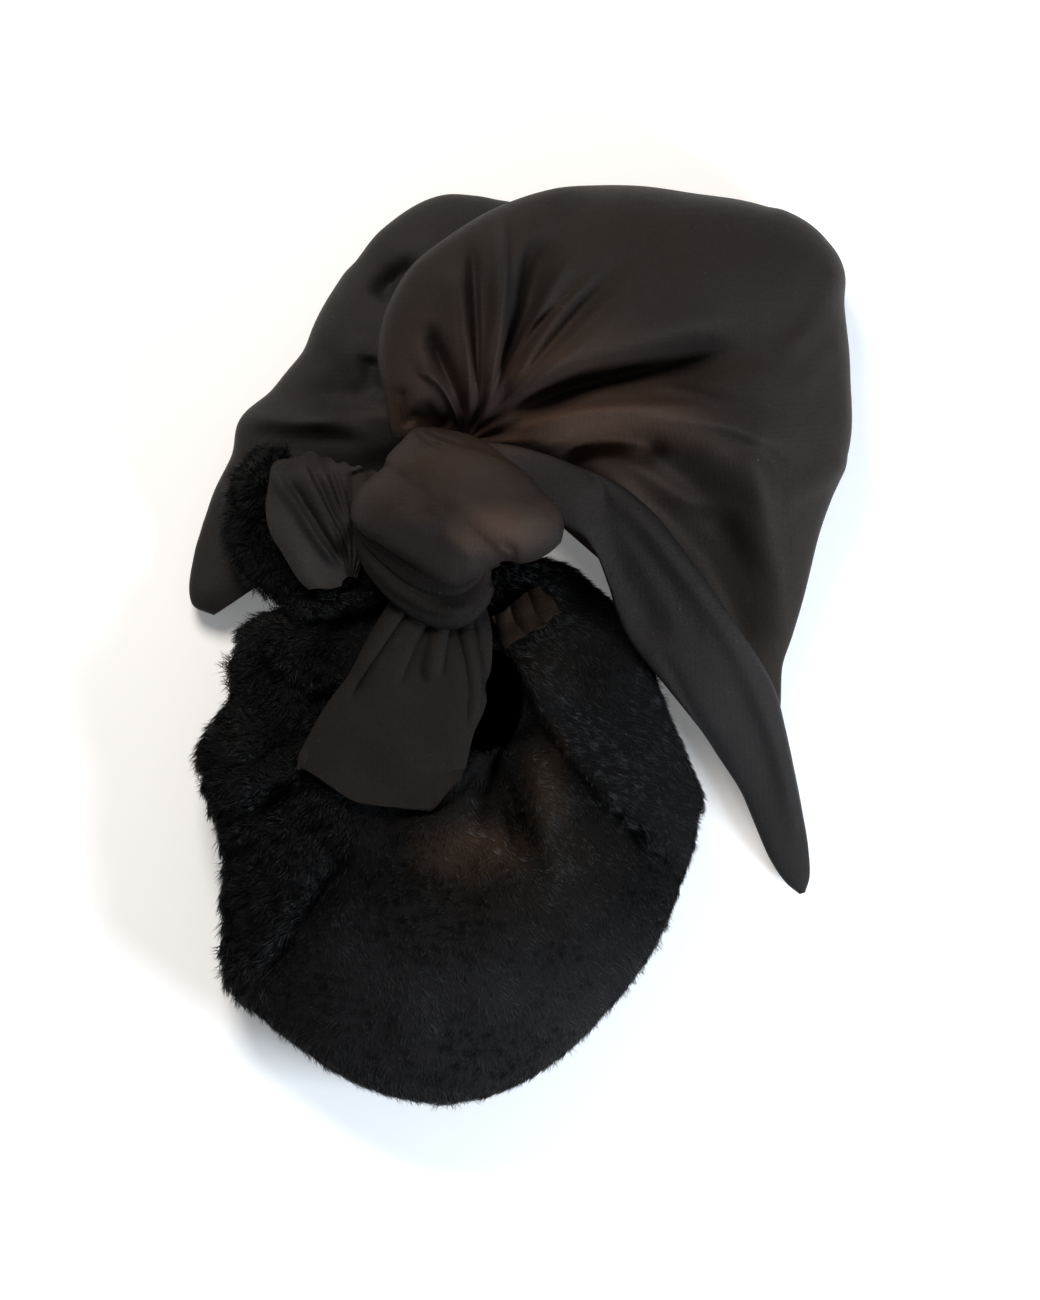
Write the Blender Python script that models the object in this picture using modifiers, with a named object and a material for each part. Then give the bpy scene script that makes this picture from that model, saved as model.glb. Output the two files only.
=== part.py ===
"""A turban headwrap of dark satin with a fur hood, tied in one large knot and lying on its back.

Metres, +Z up. +X is to the right and +Y towards the satin crown, as the wrap is seen from above. The floor is
Z = 0. Every place is first counted from the middle of the knot, and the whole is then centred on the floor.
"""

import math
from collections import namedtuple

import bmesh
import bpy
from mathutils import Vector

# Walls and clearances
CLOTH_WALL = 0.0016
FUR_WALL = 0.007
ROOM = 0.00045
LAY_CLEARANCE = 0.0008

# Satin crown: a large pouch gathered into the knot, and the layer that shows to the left behind it
CROWN_REACH = 0.192
CROWN_HEIGHT = 0.094
CROWN_HEM = 0.045
CROWN_ROLL = 0.016
BACK_REACH = 0.147
BACK_HEIGHT = 0.046
BACK_HEM = 0.040
BACK_ROLL = 0.0096
GATHER_MOUTH = 0.010
GATHER_DROP = 0.016
GATHER_SPREAD = 0.026
GATHER_PLEATS = 13
GATHER_PLEAT_DEPTH = 0.0022
GATHER_PLEAT_LENGTH = 0.040

# Knot
KNOT_REACH = 0.0515
KNOT_DEPTH = 0.066
KNOT_MIDDLE_HEIGHT = 0.078
UNDER_BAND_WIDTH = 0.0515

# Tails
LONG_TAIL_SPAN = 0.190
LONG_TAIL_WIDTH = 0.044
LONG_TAIL_THICKNESS = 0.013
SHORT_TAIL_SPAN = 0.095
SHORT_TAIL_WIDTH = 0.076
SHORT_TAIL_THICKNESS = 0.0045

# Fur hood
HOOD_REACH = 0.163
HOOD_HEIGHT = 0.080
HOOD_MOUTH = 0.050
HOOD_OFFSET_X = 0.018
HOOD_OFFSET_Y = -0.115
HOOD_ROLL = 0.030
LOCK_DEPTH = 0.0060
LOCK_LENGTH = 0.032
LOCK_WIDTH = 0.028

# Gathered tabs that join the fur to the knot, and the fur roll round the left one
TAB_LENGTH = 0.066
TAB_GATHER = 0.010
TAB_PLEATS = 4
TAB_PLEAT_DEPTH = 0.0022
TAB_ARCH = 0.007
INNER_TAB_WIDTH = 0.028
INNER_TAB_LENGTH = 0.030
INNER_TAB_PLEATS = 3
INNER_TAB_PLEAT_DEPTH = 0.0014
FUR_ROLL_RADIUS = 0.011

SATIN = {"colour": (0.022, 0.018, 0.016, 1.0), "roughness": 0.48}
FUR = {"colour": (0.008, 0.008, 0.009, 1.0), "roughness": 0.85}

# Shares of a section's length at which its upper side ends and at which its rolled edge ends
CLOTH_ENDS = (0.68, 0.84)
FUR_ENDS = (0.58, 0.78)
# How square the shoulder of a section is: 2 is an ellipse, and more is squarer.
CLOTH_SHOULDER = 2.6
FUR_SHOULDER = 2.4
# Each fold deepens over this share of the reach, and fades over this share of its own length.
FOLD_RISE = 0.22
FOLD_FALL = 0.40
# The fur sinks by this share of its height round the hood's mouth.
MOUTH_SAG = 0.10

Outline = namedtuple("Outline", "bearing reach")
Section = namedtuple("Section", "bearing top edge")
Fold = namedtuple("Fold", "at_1 at_4 at_7 at_10 start end depth near far")
Crease = namedtuple("Crease", "x0 y0 x1 y1 x2 y2 depth width")
Station = namedtuple("Station", "x y height width thickness")

# Bearings are degrees round the gather from +X, and reaches are shares of CROWN_REACH.
CROWN_OUTLINE = [
    Outline(-41, 1.00), Outline(-35, 0.93), Outline(-26, 0.892), Outline(-17, 0.873), Outline(-9, 0.884),
    Outline(0, 0.920), Outline(10, 0.936), Outline(20, 0.962), Outline(26, 1.00), Outline(32, 0.975),
    Outline(40, 0.895), Outline(48, 0.805), Outline(56, 0.730), Outline(66, 0.655), Outline(79, 0.566),
    Outline(94, 0.496), Outline(108, 0.434), Outline(120, 0.372), Outline(134, 0.300), Outline(152, 0.215),
    Outline(176, 0.175),
]
# Tops are shares of CROWN_HEIGHT, and an edge is a share of the way up from its seat to its top.
CROWN_SECTIONS = [
    Section(-41, 0.34, 0.44), Section(-25, 0.52, 0.46), Section(-5, 0.78, 0.44), Section(20, 0.90, 0.42),
    Section(45, 1.00, 0.42), Section(70, 1.00, 0.40), Section(84, 0.98, 0.34), Section(110, 0.95, 0.44),
    Section(140, 0.90, 0.48), Section(176, 0.84, 0.50),
]
# Between these bearings the pouch's edge leaves the floor and is seated on the lower layer.
CROWN_SEAT_TURN = (69, 77)
CROWN_SEAT_HEM = 0.1
# Depths are shares of CROWN_HEIGHT, and places and widths are shares of CROWN_REACH.
CROWN_FOLDS = [
    Fold(104, 114, 118, 120, 0.03, 0.30, -0.10, 0.020, 0.035),
    Fold(98, 99, 99, 99, 0.03, 0.38, 0.05, 0.018, 0.030),
    Fold(88, 92, 93, 93, 0.03, 0.36, -0.08, 0.014, 0.030),
    Fold(65, 78, 84, 84, 0.03, 0.55, 0.05, 0.014, 0.022),
    Fold(56, 66, 67, 67, 0.03, 0.60, -0.09, 0.016, 0.050),
    Fold(46, 50, 48, 48, 0.05, 0.65, -0.05, 0.016, 0.045),
    Fold(35, 40, 43, 43, 0.05, 0.70, 0.05, 0.020, 0.080),
    Fold(31, 23, 18, 16, 0.03, 0.85, -0.16, 0.030, 0.060),
    Fold(20, 12, 7, 6, 0.04, 0.70, 0.04, 0.024, 0.030),
    Fold(9, 6, -9, -34, 0.04, 1.00, 0.09, 0.034, 0.100),
    Fold(2, -2, -21, -38, 0.06, 0.98, -0.15, 0.034, 0.110),
]
# Reaches are shares of BACK_REACH, round the gather.
BACK_OUTLINE = [
    Outline(82, 0.749), Outline(87, 0.751), Outline(94, 0.748), Outline(101, 0.733), Outline(111, 0.695),
    Outline(124, 0.648), Outline(133, 0.627), Outline(149, 0.598), Outline(164, 0.636), Outline(174, 0.718),
    Outline(183, 0.742), Outline(194, 0.840), Outline(202, 0.925), Outline(210, 1.00), Outline(214, 0.960),
]
BACK_SECTIONS = [
    Section(82, 1.00, 0.30), Section(120, 1.00, 0.30), Section(160, 0.98, 0.29), Section(180, 0.86, 0.30),
    Section(195, 0.66, 0.36), Section(214, 0.50, 0.44),
]
# Depths are shares of BACK_HEIGHT, and places and widths are shares of BACK_REACH.
BACK_FOLDS = [
    Fold(172, 172, 173, 174, 0.26, 0.74, 0.12, 0.040, 0.050),
    Fold(158, 160, 162, 164, 0.20, 0.60, -0.20, 0.060, 0.070),
    Fold(150, 150, 150, 150, 0.25, 0.70, -0.10, 0.050, 0.060),
    Fold(112, 114, 115, 115, 0.38, 0.70, -0.26, 0.070, 0.070),
    Fold(184, 188, 191, 193, 0.40, 0.86, 0.12, 0.050, 0.060),
]
# The gather and the corner of the side tab, from the middle of the knot in shares of KNOT_REACH.
GATHER_PLACE = (0.045, 0.67)
TAB_PLACE = (-0.98, -0.60)
INNER_TAB_PLACE = (0.34, -1.26)
# Reaches are shares of KNOT_REACH, round the middle of the knot.
KNOT_OUTLINE = [
    Outline(-20, 0.97), Outline(0, 0.95), Outline(27, 0.84), Outline(51, 0.70), Outline(76, 0.67),
    Outline(102, 0.73), Outline(121, 0.83), Outline(142, 0.83), Outline(158, 0.82), Outline(176, 0.91),
    Outline(197, 0.93), Outline(219, 0.76), Outline(244, 0.67), Outline(270, 0.69), Outline(293, 0.66),
    Outline(317, 0.74), Outline(340, 0.97),
]
# Places, widths and depths are shares of KNOT_REACH.
KNOT_CREASES = [
    Crease(-0.30, 0.55, 0.10, 0.30, 0.55, 0.25, -0.060, 0.12),
    Crease(-0.10, 0.05, 0.35, -0.12, 0.75, -0.12, 0.040, 0.22),
    Crease(0.15, -0.48, 0.45, -0.32, 0.80, -0.34, -0.080, 0.10),
    Crease(-0.75, -0.05, -0.45, -0.35, -0.05, -0.55, -0.060, 0.09),
]
# Reaches are shares of HOOD_REACH, round the middle of the hood's mouth.
HOOD_OUTLINE = [
    Outline(-170, 0.842), Outline(-164, 0.834), Outline(-155, 0.873), Outline(-147, 0.965),
    Outline(-142, 0.992), Outline(-136, 0.997), Outline(-125, 0.992), Outline(-116, 1.00), Outline(-106, 0.992),
    Outline(-100, 0.983), Outline(-92, 0.952), Outline(-85, 0.904), Outline(-76, 0.839), Outline(-66, 0.769),
    Outline(-53, 0.704), Outline(-39, 0.651), Outline(-27, 0.608), Outline(-14, 0.597), Outline(-8, 0.600),
    Outline(0, 0.565), Outline(15, 0.527), Outline(29, 0.530), Outline(36, 0.553), Outline(52, 0.552),
    Outline(65, 0.588), Outline(73, 0.622), Outline(90, 0.610), Outline(102, 0.605), Outline(124, 0.655),
    Outline(141, 0.755), Outline(150, 0.840), Outline(158, 0.826), Outline(166, 0.817), Outline(174, 0.862),
    Outline(182, 0.865), Outline(190, 0.842),
]
HOOD_SECTIONS = [
    Section(-180, 0.84, 0.48), Section(-135, 0.90, 0.44), Section(-90, 1.00, 0.40), Section(-45, 0.92, 0.46),
    Section(0, 0.82, 0.51), Section(40, 0.70, 0.51), Section(75, 0.64, 0.47), Section(105, 0.63, 0.44),
    Section(130, 0.64, 0.47), Section(155, 0.74, 0.49), Section(180, 0.84, 0.48),
]
# Reaches are shares of HOOD_MOUTH.
MOUTH_OUTLINE = [
    Outline(-180, 0.88), Outline(-135, 0.74), Outline(-105, 0.52), Outline(-80, 0.46), Outline(-50, 0.42),
    Outline(-20, 0.42), Outline(15, 0.50), Outline(45, 0.64), Outline(70, 0.84), Outline(90, 0.94),
    Outline(135, 1.00), Outline(180, 0.88),
]
# Places and widths are shares of HOOD_REACH, and depths are shares of HOOD_HEIGHT.
HOOD_CREASES = [
    Crease(-0.33, -0.31, -0.12, -0.20, 0.03, -0.28, 0.10, 0.05),
    Crease(0.16, -0.02, 0.20, -0.16, 0.21, -0.40, 0.10, 0.05),
    Crease(0.02, -0.14, 0.05, -0.24, 0.10, -0.32, -0.17, 0.06),
    Crease(-0.42, -0.20, -0.58, -0.48, -0.71, -0.68, -0.13, 0.06),
    Crease(-0.46, 0.02, -0.62, -0.12, -0.84, -0.10, -0.15, 0.06),
    Crease(0.18, 0.02, 0.42, -0.16, 0.53, -0.36, 0.09, 0.06),
    Crease(0.28, -0.46, 0.42, -0.38, 0.52, -0.30, -0.05, 0.04),
]
# Columns of the hood's grid, as shares, and the bearings where they lie: most are where the locks are.
HOOD_COLUMNS = ((0.0, 0.36, 0.70, 1.0), (180.0, 95.0, -105.0, -180.0))
LOCK_START, LOCK_FULL = 0.30, 0.55
# Stations run from the knot outwards. x and y are shares of the span, and heights of KNOT_MIDDLE_HEIGHT.
LONG_TAIL = [
    Station(-0.048, 0.194, 1.070, 0.10, 0.50), Station(0.024, 0.201, 1.140, 0.36, 0.85),
    Station(0.133, 0.165, 1.157, 0.54, 1.15), Station(0.242, 0.085, 1.108, 0.64, 1.30),
    Station(0.346, 0.031, 0.986, 0.62, 1.30), Station(0.455, -0.102, 0.804, 0.90, 1.15),
    Station(0.557, -0.261, 0.609, 0.88, 1.05), Station(0.634, -0.416, 0.438, 0.80, 1.00),
    Station(0.719, -0.605, 0.263, 0.64, 0.95), Station(0.787, -0.770, 0.151, 0.46, 0.85),
    Station(0.823, -0.872, 0.117, 0.24, 0.70), Station(0.833, -0.903, 0.107, 0.08, 0.35),
]
SHORT_TAIL = [
    Station(-0.058, -0.339, 0.731, 0.50, 2.2), Station(-0.097, -0.508, 0.798, 0.58, 1.9),
    Station(-0.169, -0.702, 0.871, 0.68, 1.4), Station(-0.252, -0.920, 0.932, 0.80, 1.1),
    Station(-0.320, -1.123, 0.956, 0.92, 1.0), Station(-0.373, -1.317, 0.956, 1.00, 1.0),
]
# Band under the knot: x and y are shares of KNOT_REACH.
UNDER_BAND = [
    Station(-0.80, 0.20, 0.792, 0.34, 0.34), Station(-0.86, -0.20, 0.792, 0.50, 0.44),
    Station(-0.70, -0.52, 0.792, 0.56, 0.50), Station(-0.42, -0.78, 0.792, 0.58, 0.50),
    Station(-0.10, -0.90, 0.792, 0.56, 0.50), Station(0.14, -0.72, 0.806, 0.46, 0.44),
    Station(0.24, -0.46, 0.832, 0.30, 0.34),
]
# Fur roll: x and y are shares of TAB_LENGTH from the corner where the tab is gathered.
FUR_ROLL = [
    Station(-0.453, 0.922, 0.440, 0.34, 0.34), Station(-0.614, 0.867, 0.430, 0.66, 0.66),
    Station(-0.768, 0.698, 0.420, 0.90, 0.90), Station(-0.867, 0.468, 0.410, 1.00, 1.00),
    Station(-0.853, 0.244, 0.400, 1.04, 1.00), Station(-0.733, 0.085, 0.410, 0.96, 0.92),
    Station(-0.573, 0.032, 0.430, 0.70, 0.70),
]
# Reaches are shares of TAB_LENGTH, round the corner where the tab is gathered.
TAB_OUTLINE = [
    Outline(88, 0.90), Outline(104, 0.95), Outline(118, 1.00), Outline(127, 0.99), Outline(140, 0.86),
    Outline(155, 0.66), Outline(174, 0.42),
]
TAB_HEIGHT = 0.70


def ramp(value, low, high):
    """0 at low, 1 at high, and smooth between them."""
    share = min(1.0, max(0.0, (value - low) / (high - low)))
    return share * share * (3.0 - 2.0 * share)


def through(keys, values, at):
    """A smooth line through the values at their keys, read at one place."""
    at = min(keys[-1], max(keys[0], at))
    last = max(i for i in range(len(keys) - 1) if keys[i] <= at)
    slopes = []
    for i in (last, last + 1):
        low, high = max(0, i - 1), min(len(keys) - 1, i + 1)
        slopes.append((values[high] - values[low]) / (keys[high] - keys[low]))
    span = keys[last + 1] - keys[last]
    t = (at - keys[last]) / span
    start, end = values[last], values[last + 1]
    return (
        (2 * t**3 - 3 * t**2 + 1) * start
        + (t**3 - 2 * t**2 + t) * span * slopes[0]
        + (3 * t**2 - 2 * t**3) * end
        + (t**3 - t**2) * span * slopes[1]
    )


def column(rows, name, at):
    """One named column of a table, read at a bearing between its rows."""
    return through([row.bearing for row in rows], [getattr(row, name) for row in rows], at)


def polar(bearing, distance):
    angle = math.radians(bearing)
    return Vector((math.cos(angle) * distance, math.sin(angle) * distance, 0.0))


def bearing_of(place):
    return math.degrees(math.atan2(place.y, place.x))


def from_knot(shares):
    """A place given in shares of the knot's reach."""
    return Vector((shares[0], shares[1], 0.0)) * KNOT_REACH


def hood_middle():
    return Vector((HOOD_OFFSET_X, HOOD_OFFSET_Y, 0.0))


def shoulder(share, squareness):
    """The fall of a section from its top to its edge: 1 in the middle and 0 at the edge."""
    return (1.0 - share**squareness) ** (1.0 / squareness) if share < 1.0 else 0.0


def fold_height(folds, bearing, share):
    """How far the folds lift the cloth at a bearing and a share of its reach, in shares of its height."""
    lift = 0.0
    for fold in folds:
        if not fold.start < share < fold.end:
            continue
        middle = through((0.1, 0.4, 0.7, 1.0), (fold.at_1, fold.at_4, fold.at_7, fold.at_10), share)
        width = fold.near + (fold.far - fold.near) * min(1.0, share)
        across = math.radians(bearing - middle) * share / width
        fade_in = ramp(share, fold.start, fold.start + FOLD_RISE)
        fade_out = ramp(share, fold.end, fold.end - FOLD_FALL * (fold.end - fold.start))
        lift += fold.depth * math.exp(-across * across) * fade_in * fade_out
    return lift


def crease_height(creases, x, y):
    """How far the creases lift a surface at a place, all in shares. Each runs along a bent line."""
    steps = 10
    lift = 0.0
    for crease in creases:
        nearest = math.inf
        for i in range(steps + 1):
            t = i / steps
            px = (1 - t) ** 2 * crease.x0 + 2 * t * (1 - t) * crease.x1 + t * t * crease.x2
            py = (1 - t) ** 2 * crease.y0 + 2 * t * (1 - t) * crease.y1 + t * t * crease.y2
            nearest = min(nearest, math.hypot(x - px, y - py))
        lift += crease.depth * math.exp(-((nearest / crease.width) ** 2))
    return lift


def locks(x, y):
    """Rows of staggered fur locks, each rising slowly and ending in a step, as a share of LOCK_DEPTH."""
    row = 0.5 - y / LOCK_LENGTH
    stagger = 0.5 * (math.floor(row) % 2)
    rise = row - math.floor(row)
    return (0.3 + 0.7 * rise) * math.cos(math.pi * (x / LOCK_WIDTH + stagger)) ** 2


def gather_pleats(bearing, distance):
    """The small pleats close to the knot."""
    rise = ramp(distance, GATHER_MOUTH, 0.75 * GATHER_PLEAT_LENGTH)
    fade = math.exp(-((distance / GATHER_PLEAT_LENGTH) ** 2))
    return GATHER_PLEAT_DEPTH * rise * fade * math.cos(math.radians(bearing) * GATHER_PLEATS)


def crown_lift(bearing, distance):
    folds = CROWN_HEIGHT * fold_height(CROWN_FOLDS, bearing, distance / CROWN_REACH)
    return folds + gather_pleats(bearing, distance)


def crown_roll(reach):
    return min(CROWN_ROLL, 0.3 * reach)


def crown_section(bearing):
    """Reach, top, edge and seat of the pouch at one bearing. The seat is the floor, or the lower layer."""
    reach = CROWN_REACH * column(CROWN_OUTLINE, "reach", bearing)
    top = CROWN_HEIGHT * column(CROWN_SECTIONS, "top", bearing)
    inner_end = reach - crown_roll(reach) - CROWN_SEAT_HEM * CROWN_HEM
    seated = back_top(max(bearing, BACK_OUTLINE[0].bearing), inner_end, dips=False) + LAY_CLEARANCE
    seat = seated * ramp(bearing, *CROWN_SEAT_TURN)
    return reach, top, seat + (top - seat) * column(CROWN_SECTIONS, "edge", bearing), seat


def crown_top(bearing, distance):
    """Height of the pouch's upper side."""
    reach, top, edge, seat = crown_section(bearing)
    share = distance / reach
    height = edge + (top - edge) * shoulder(share, CLOTH_SHOULDER)
    height -= (top - KNOT_MIDDLE_HEIGHT + GATHER_DROP) * math.exp(-((distance / GATHER_SPREAD) ** 2))
    return max(height + crown_lift(bearing, distance) * (1.0 - share**6), seat + 2.5 * CLOTH_WALL)


def back_lift(bearing, distance):
    return BACK_HEIGHT * fold_height(BACK_FOLDS, bearing, distance / BACK_REACH)


def back_section(bearing):
    """Reach, top, edge and seat of the lower layer at one bearing."""
    reach = BACK_REACH * column(BACK_OUTLINE, "reach", bearing)
    top = BACK_HEIGHT * column(BACK_SECTIONS, "top", bearing)
    return reach, top, top * column(BACK_SECTIONS, "edge", bearing), 0.0


def back_top(bearing, distance, dips=True):
    """Height of the lower layer's upper side, with or without the folds that dip."""
    reach, top, edge, _ = back_section(bearing)
    share = min(1.0, distance / reach)
    lift = back_lift(bearing, distance) * (1.0 - share**6)
    return edge + (top - edge) * shoulder(share, CLOTH_SHOULDER) + (lift if dips else max(0.0, lift))


def hood_lift(bearing, distance):
    place = polar(bearing, distance)
    creases = HOOD_HEIGHT * crease_height(HOOD_CREASES, place.x / HOOD_REACH, place.y / HOOD_REACH)
    left_side = ramp(-place.x, LOCK_START * HOOD_REACH, LOCK_FULL * HOOD_REACH)
    return creases + LOCK_DEPTH * left_side * locks(place.x, place.y)


def hood_section(bearing):
    """Reach, mouth, top and edge of the hood at one bearing."""
    key = bearing if bearing > HOOD_OUTLINE[0].bearing else bearing + 360
    reach = HOOD_REACH * column(HOOD_OUTLINE, "reach", key)
    mouth = HOOD_MOUTH * column(MOUTH_OUTLINE, "reach", bearing)
    top = HOOD_HEIGHT * column(HOOD_SECTIONS, "top", bearing)
    return reach, mouth, top, top * column(HOOD_SECTIONS, "edge", bearing)


def hood_top(bearing, distance):
    """Height of the hood's upper side."""
    reach, mouth, top, edge = hood_section(bearing)
    share = min(1.0, max(0.0, (distance - mouth) / (reach - mouth)))
    sag = MOUTH_SAG * top * (1.0 - share) ** 4
    lift = hood_lift(bearing, distance) * (1.0 - share**6)
    return edge + (top - edge) * shoulder(share, FUR_SHOULDER) - sag + lift


def height_below(place):
    """Height of whatever the tails, the tabs and the roll lie on at a place: crown, lower layer, hood or floor."""
    heights = [0.0]
    from_gather = place - from_knot(GATHER_PLACE)
    bearing, distance = bearing_of(from_gather), from_gather.xy.length
    if CROWN_OUTLINE[0].bearing <= bearing <= CROWN_OUTLINE[-1].bearing:
        if distance < crown_section(bearing)[0]:
            heights.append(crown_top(bearing, distance))
    if BACK_OUTLINE[0].bearing <= bearing % 360 <= BACK_OUTLINE[-1].bearing:
        if distance < back_section(bearing % 360)[0]:
            heights.append(back_top(bearing % 360, distance))
    from_hood = place - hood_middle()
    bearing, distance = bearing_of(from_hood), from_hood.xy.length
    reach, mouth, _, _ = hood_section(bearing)
    if mouth < distance < reach:
        heights.append(hood_top(bearing, distance))
    return max(heights)


def collection(name):
    made = bpy.data.collections.new(name)
    bpy.context.scene.collection.children.link(made)
    return made


def material(name, look):
    made = bpy.data.materials.new(name)
    made.use_nodes = True
    shader = made.node_tree.nodes["Principled BSDF"]
    shader.inputs["Base Color"].default_value = look["colour"]
    shader.inputs["Roughness"].default_value = look["roughness"]
    shader.inputs["Metallic"].default_value = 0.0
    return made


def sheet(name, across, along, place):
    """A grid whose points are put where place(u, v) says, with u and v from 0 to 1. Meeting edges are joined."""
    bpy.ops.mesh.primitive_grid_add(x_subdivisions=across, y_subdivisions=along, size=2)
    obj = bpy.context.object
    obj.name = obj.data.name = name
    for vertex in obj.data.vertices:
        vertex.co = place((vertex.co.x + 1) / 2, (vertex.co.y + 1) / 2)
    mesh = bmesh.new()
    mesh.from_mesh(obj.data)
    bmesh.ops.remove_doubles(mesh, verts=mesh.verts, dist=1e-6)
    mesh.to_mesh(obj.data)
    mesh.free()
    return obj


def thicken(obj, wall):
    """Gives a sheet its wall, inwards from the surface that shows, and applies it."""
    solidify = obj.modifiers.new("wall", "SOLIDIFY")
    solidify.thickness = wall
    solidify.offset = -1
    bpy.context.view_layer.objects.active = obj
    bpy.ops.object.modifier_apply(modifier=solidify.name)
    return obj


def pouch_section(v, section, roll, hem, mouth, ends, top_at, lift_at):
    """Distance and height along a section: out over the top, round a rolled edge, and back as a hem."""
    reach, edge, seat = section
    top_end, roll_end = ends
    if v <= top_end:
        share = math.sin(v / top_end * math.pi / 2)
        distance = mouth + (reach - mouth) * share
        return distance + 0.5 * lift_at(distance) * share**6, top_at(distance)
    if v <= roll_end:
        turn = (v - top_end) / (roll_end - top_end) * math.pi / 2
        distance = reach - roll * (1.0 - math.cos(turn)) + 0.5 * lift_at(reach)
        return distance, edge - (edge - seat) * math.sin(turn)
    return reach - roll - hem * (v - roll_end) / (1.0 - roll_end), seat


def crown_front():
    """The large pouch, from the right-hand tail round over the top to its rolled left edge."""
    first, last = CROWN_OUTLINE[0].bearing, CROWN_OUTLINE[-1].bearing

    def place(u, v):
        bearing = last + (first - last) * u
        reach, _, edge, seat = crown_section(bearing)
        hem = CROWN_HEM * (1.0 - (1.0 - CROWN_SEAT_HEM) * ramp(bearing, *CROWN_SEAT_TURN))
        distance, height = pouch_section(
            v, (reach, edge, seat), crown_roll(reach), hem, GATHER_MOUTH, CLOTH_ENDS,
            lambda at: crown_top(bearing, at), lambda at: crown_lift(bearing, at),
        )
        return from_knot(GATHER_PLACE) + polar(bearing, distance) + Vector((0, 0, height))

    return thicken(sheet("crown_front", 48, 16, place), CLOTH_WALL)


def crown_back():
    """The lower layer of the crown, which shows to the left of the pouch."""
    first, last = BACK_OUTLINE[0].bearing, BACK_OUTLINE[-1].bearing

    def place(u, v):
        bearing = last + (first - last) * u
        reach, _, edge, seat = back_section(bearing)
        distance, height = pouch_section(
            v, (reach, edge, seat), BACK_ROLL, BACK_HEM, GATHER_MOUTH, CLOTH_ENDS,
            lambda at: back_top(bearing, at), lambda at: back_lift(bearing, at),
        )
        return from_knot(GATHER_PLACE) + polar(bearing, distance) + Vector((0, 0, height))

    return thicken(sheet("crown_back", 26, 13, place), CLOTH_WALL)


def fur_hood():
    """The hood: a deep fur pouch whose mouth opens upwards, below the knot."""

    def place(u, v):
        bearing = through(*HOOD_COLUMNS, u)
        reach, mouth, _, edge = hood_section(bearing)
        distance, height = pouch_section(
            v, (reach, edge, 0.0), HOOD_ROLL, reach - HOOD_ROLL, mouth, FUR_ENDS,
            lambda at: hood_top(bearing, at), lambda at: hood_lift(bearing, at),
        )
        return hood_middle() + polar(bearing, distance) + Vector((0, 0, height))

    return thicken(sheet("fur_hood", 56, 16, place), FUR_WALL)


def knot_wrap():
    """The wound knot: a wad of cloth with creases across its front."""
    bpy.ops.mesh.primitive_uv_sphere_add(segments=32, ring_count=16, radius=1)
    knot = bpy.context.object
    knot.name = knot.data.name = "knot_wrap"
    for vertex in knot.data.vertices:
        x, y, z = vertex.co
        bearing = bearing_of(vertex.co)
        key = bearing if bearing > KNOT_OUTLINE[0].bearing else bearing + 360
        reach = KNOT_REACH * column(KNOT_OUTLINE, "reach", key)
        place = polar(bearing, reach * math.hypot(x, y) ** 0.85)
        height = math.copysign(abs(z) ** 0.9, z) * KNOT_DEPTH / 2
        if z > 0:
            height += KNOT_REACH * z * crease_height(KNOT_CREASES, place.x / KNOT_REACH, place.y / KNOT_REACH)
        vertex.co = (place.x, place.y, KNOT_MIDDLE_HEIGHT + height)
    return knot


def strip(name, stations, span, width, thickness, rings, sides, squareness, start=Vector(), lies=True):
    """A closed strip of cloth or fur along stations: a lens of the stated width and thickness, ring by ring."""
    keys = [i / (len(stations) - 1) for i in range(len(stations))]

    def read(field, at):
        return through(keys, [getattr(s, field) for s in stations], at)

    def centre(at):
        return start + Vector((read("x", at) * span, read("y", at) * span, read("height", at) * KNOT_MIDDLE_HEIGHT))

    def place(u, v):
        at = min(0.999, max(0.001, v))
        ahead = (centre(at + 0.001) - centre(at - 0.001)).normalized()
        side = ahead.cross(Vector((0, 0, 1))).normalized()
        up = side.cross(ahead)
        turn = u * 2 * math.pi
        half_depth = thickness * read("thickness", v) / 2
        middle = centre(v) + side * math.cos(turn) * width * read("width", v) / 2
        lens = math.copysign(abs(math.sin(turn)) ** squareness, math.sin(turn))
        if lies:
            middle.z = max(middle.z, height_below(middle) + LAY_CLEARANCE + half_depth)
        return middle + up * lens * half_depth

    obj = sheet(name, sides, rings, place)
    mesh = bmesh.new()
    mesh.from_mesh(obj.data)
    bmesh.ops.holes_fill(mesh, edges=[e for e in mesh.edges if e.is_boundary], sides=0)
    bmesh.ops.recalc_face_normals(mesh, faces=mesh.faces)
    mesh.to_mesh(obj.data)
    mesh.free()
    return obj


def knot_under():
    """The lower band of the knot, which passes round below the wad."""
    return strip(
        "knot_under", UNDER_BAND, KNOT_REACH, UNDER_BAND_WIDTH, UNDER_BAND_WIDTH, 14, 12, 0.8, lies=False
    )


def tail_long():
    """The long free end: it passes over the knot's upper right side and falls to the floor at the right."""
    return strip("tail_long", LONG_TAIL, LONG_TAIL_SPAN, LONG_TAIL_WIDTH, LONG_TAIL_THICKNESS, 24, 12, 0.8)


def tail_short():
    """The short free end, which hangs out of the knot over the hood's mouth."""
    return strip("tail_short", SHORT_TAIL, SHORT_TAIL_SPAN, SHORT_TAIL_WIDTH, SHORT_TAIL_THICKNESS, 12, 14, 0.6)


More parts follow.
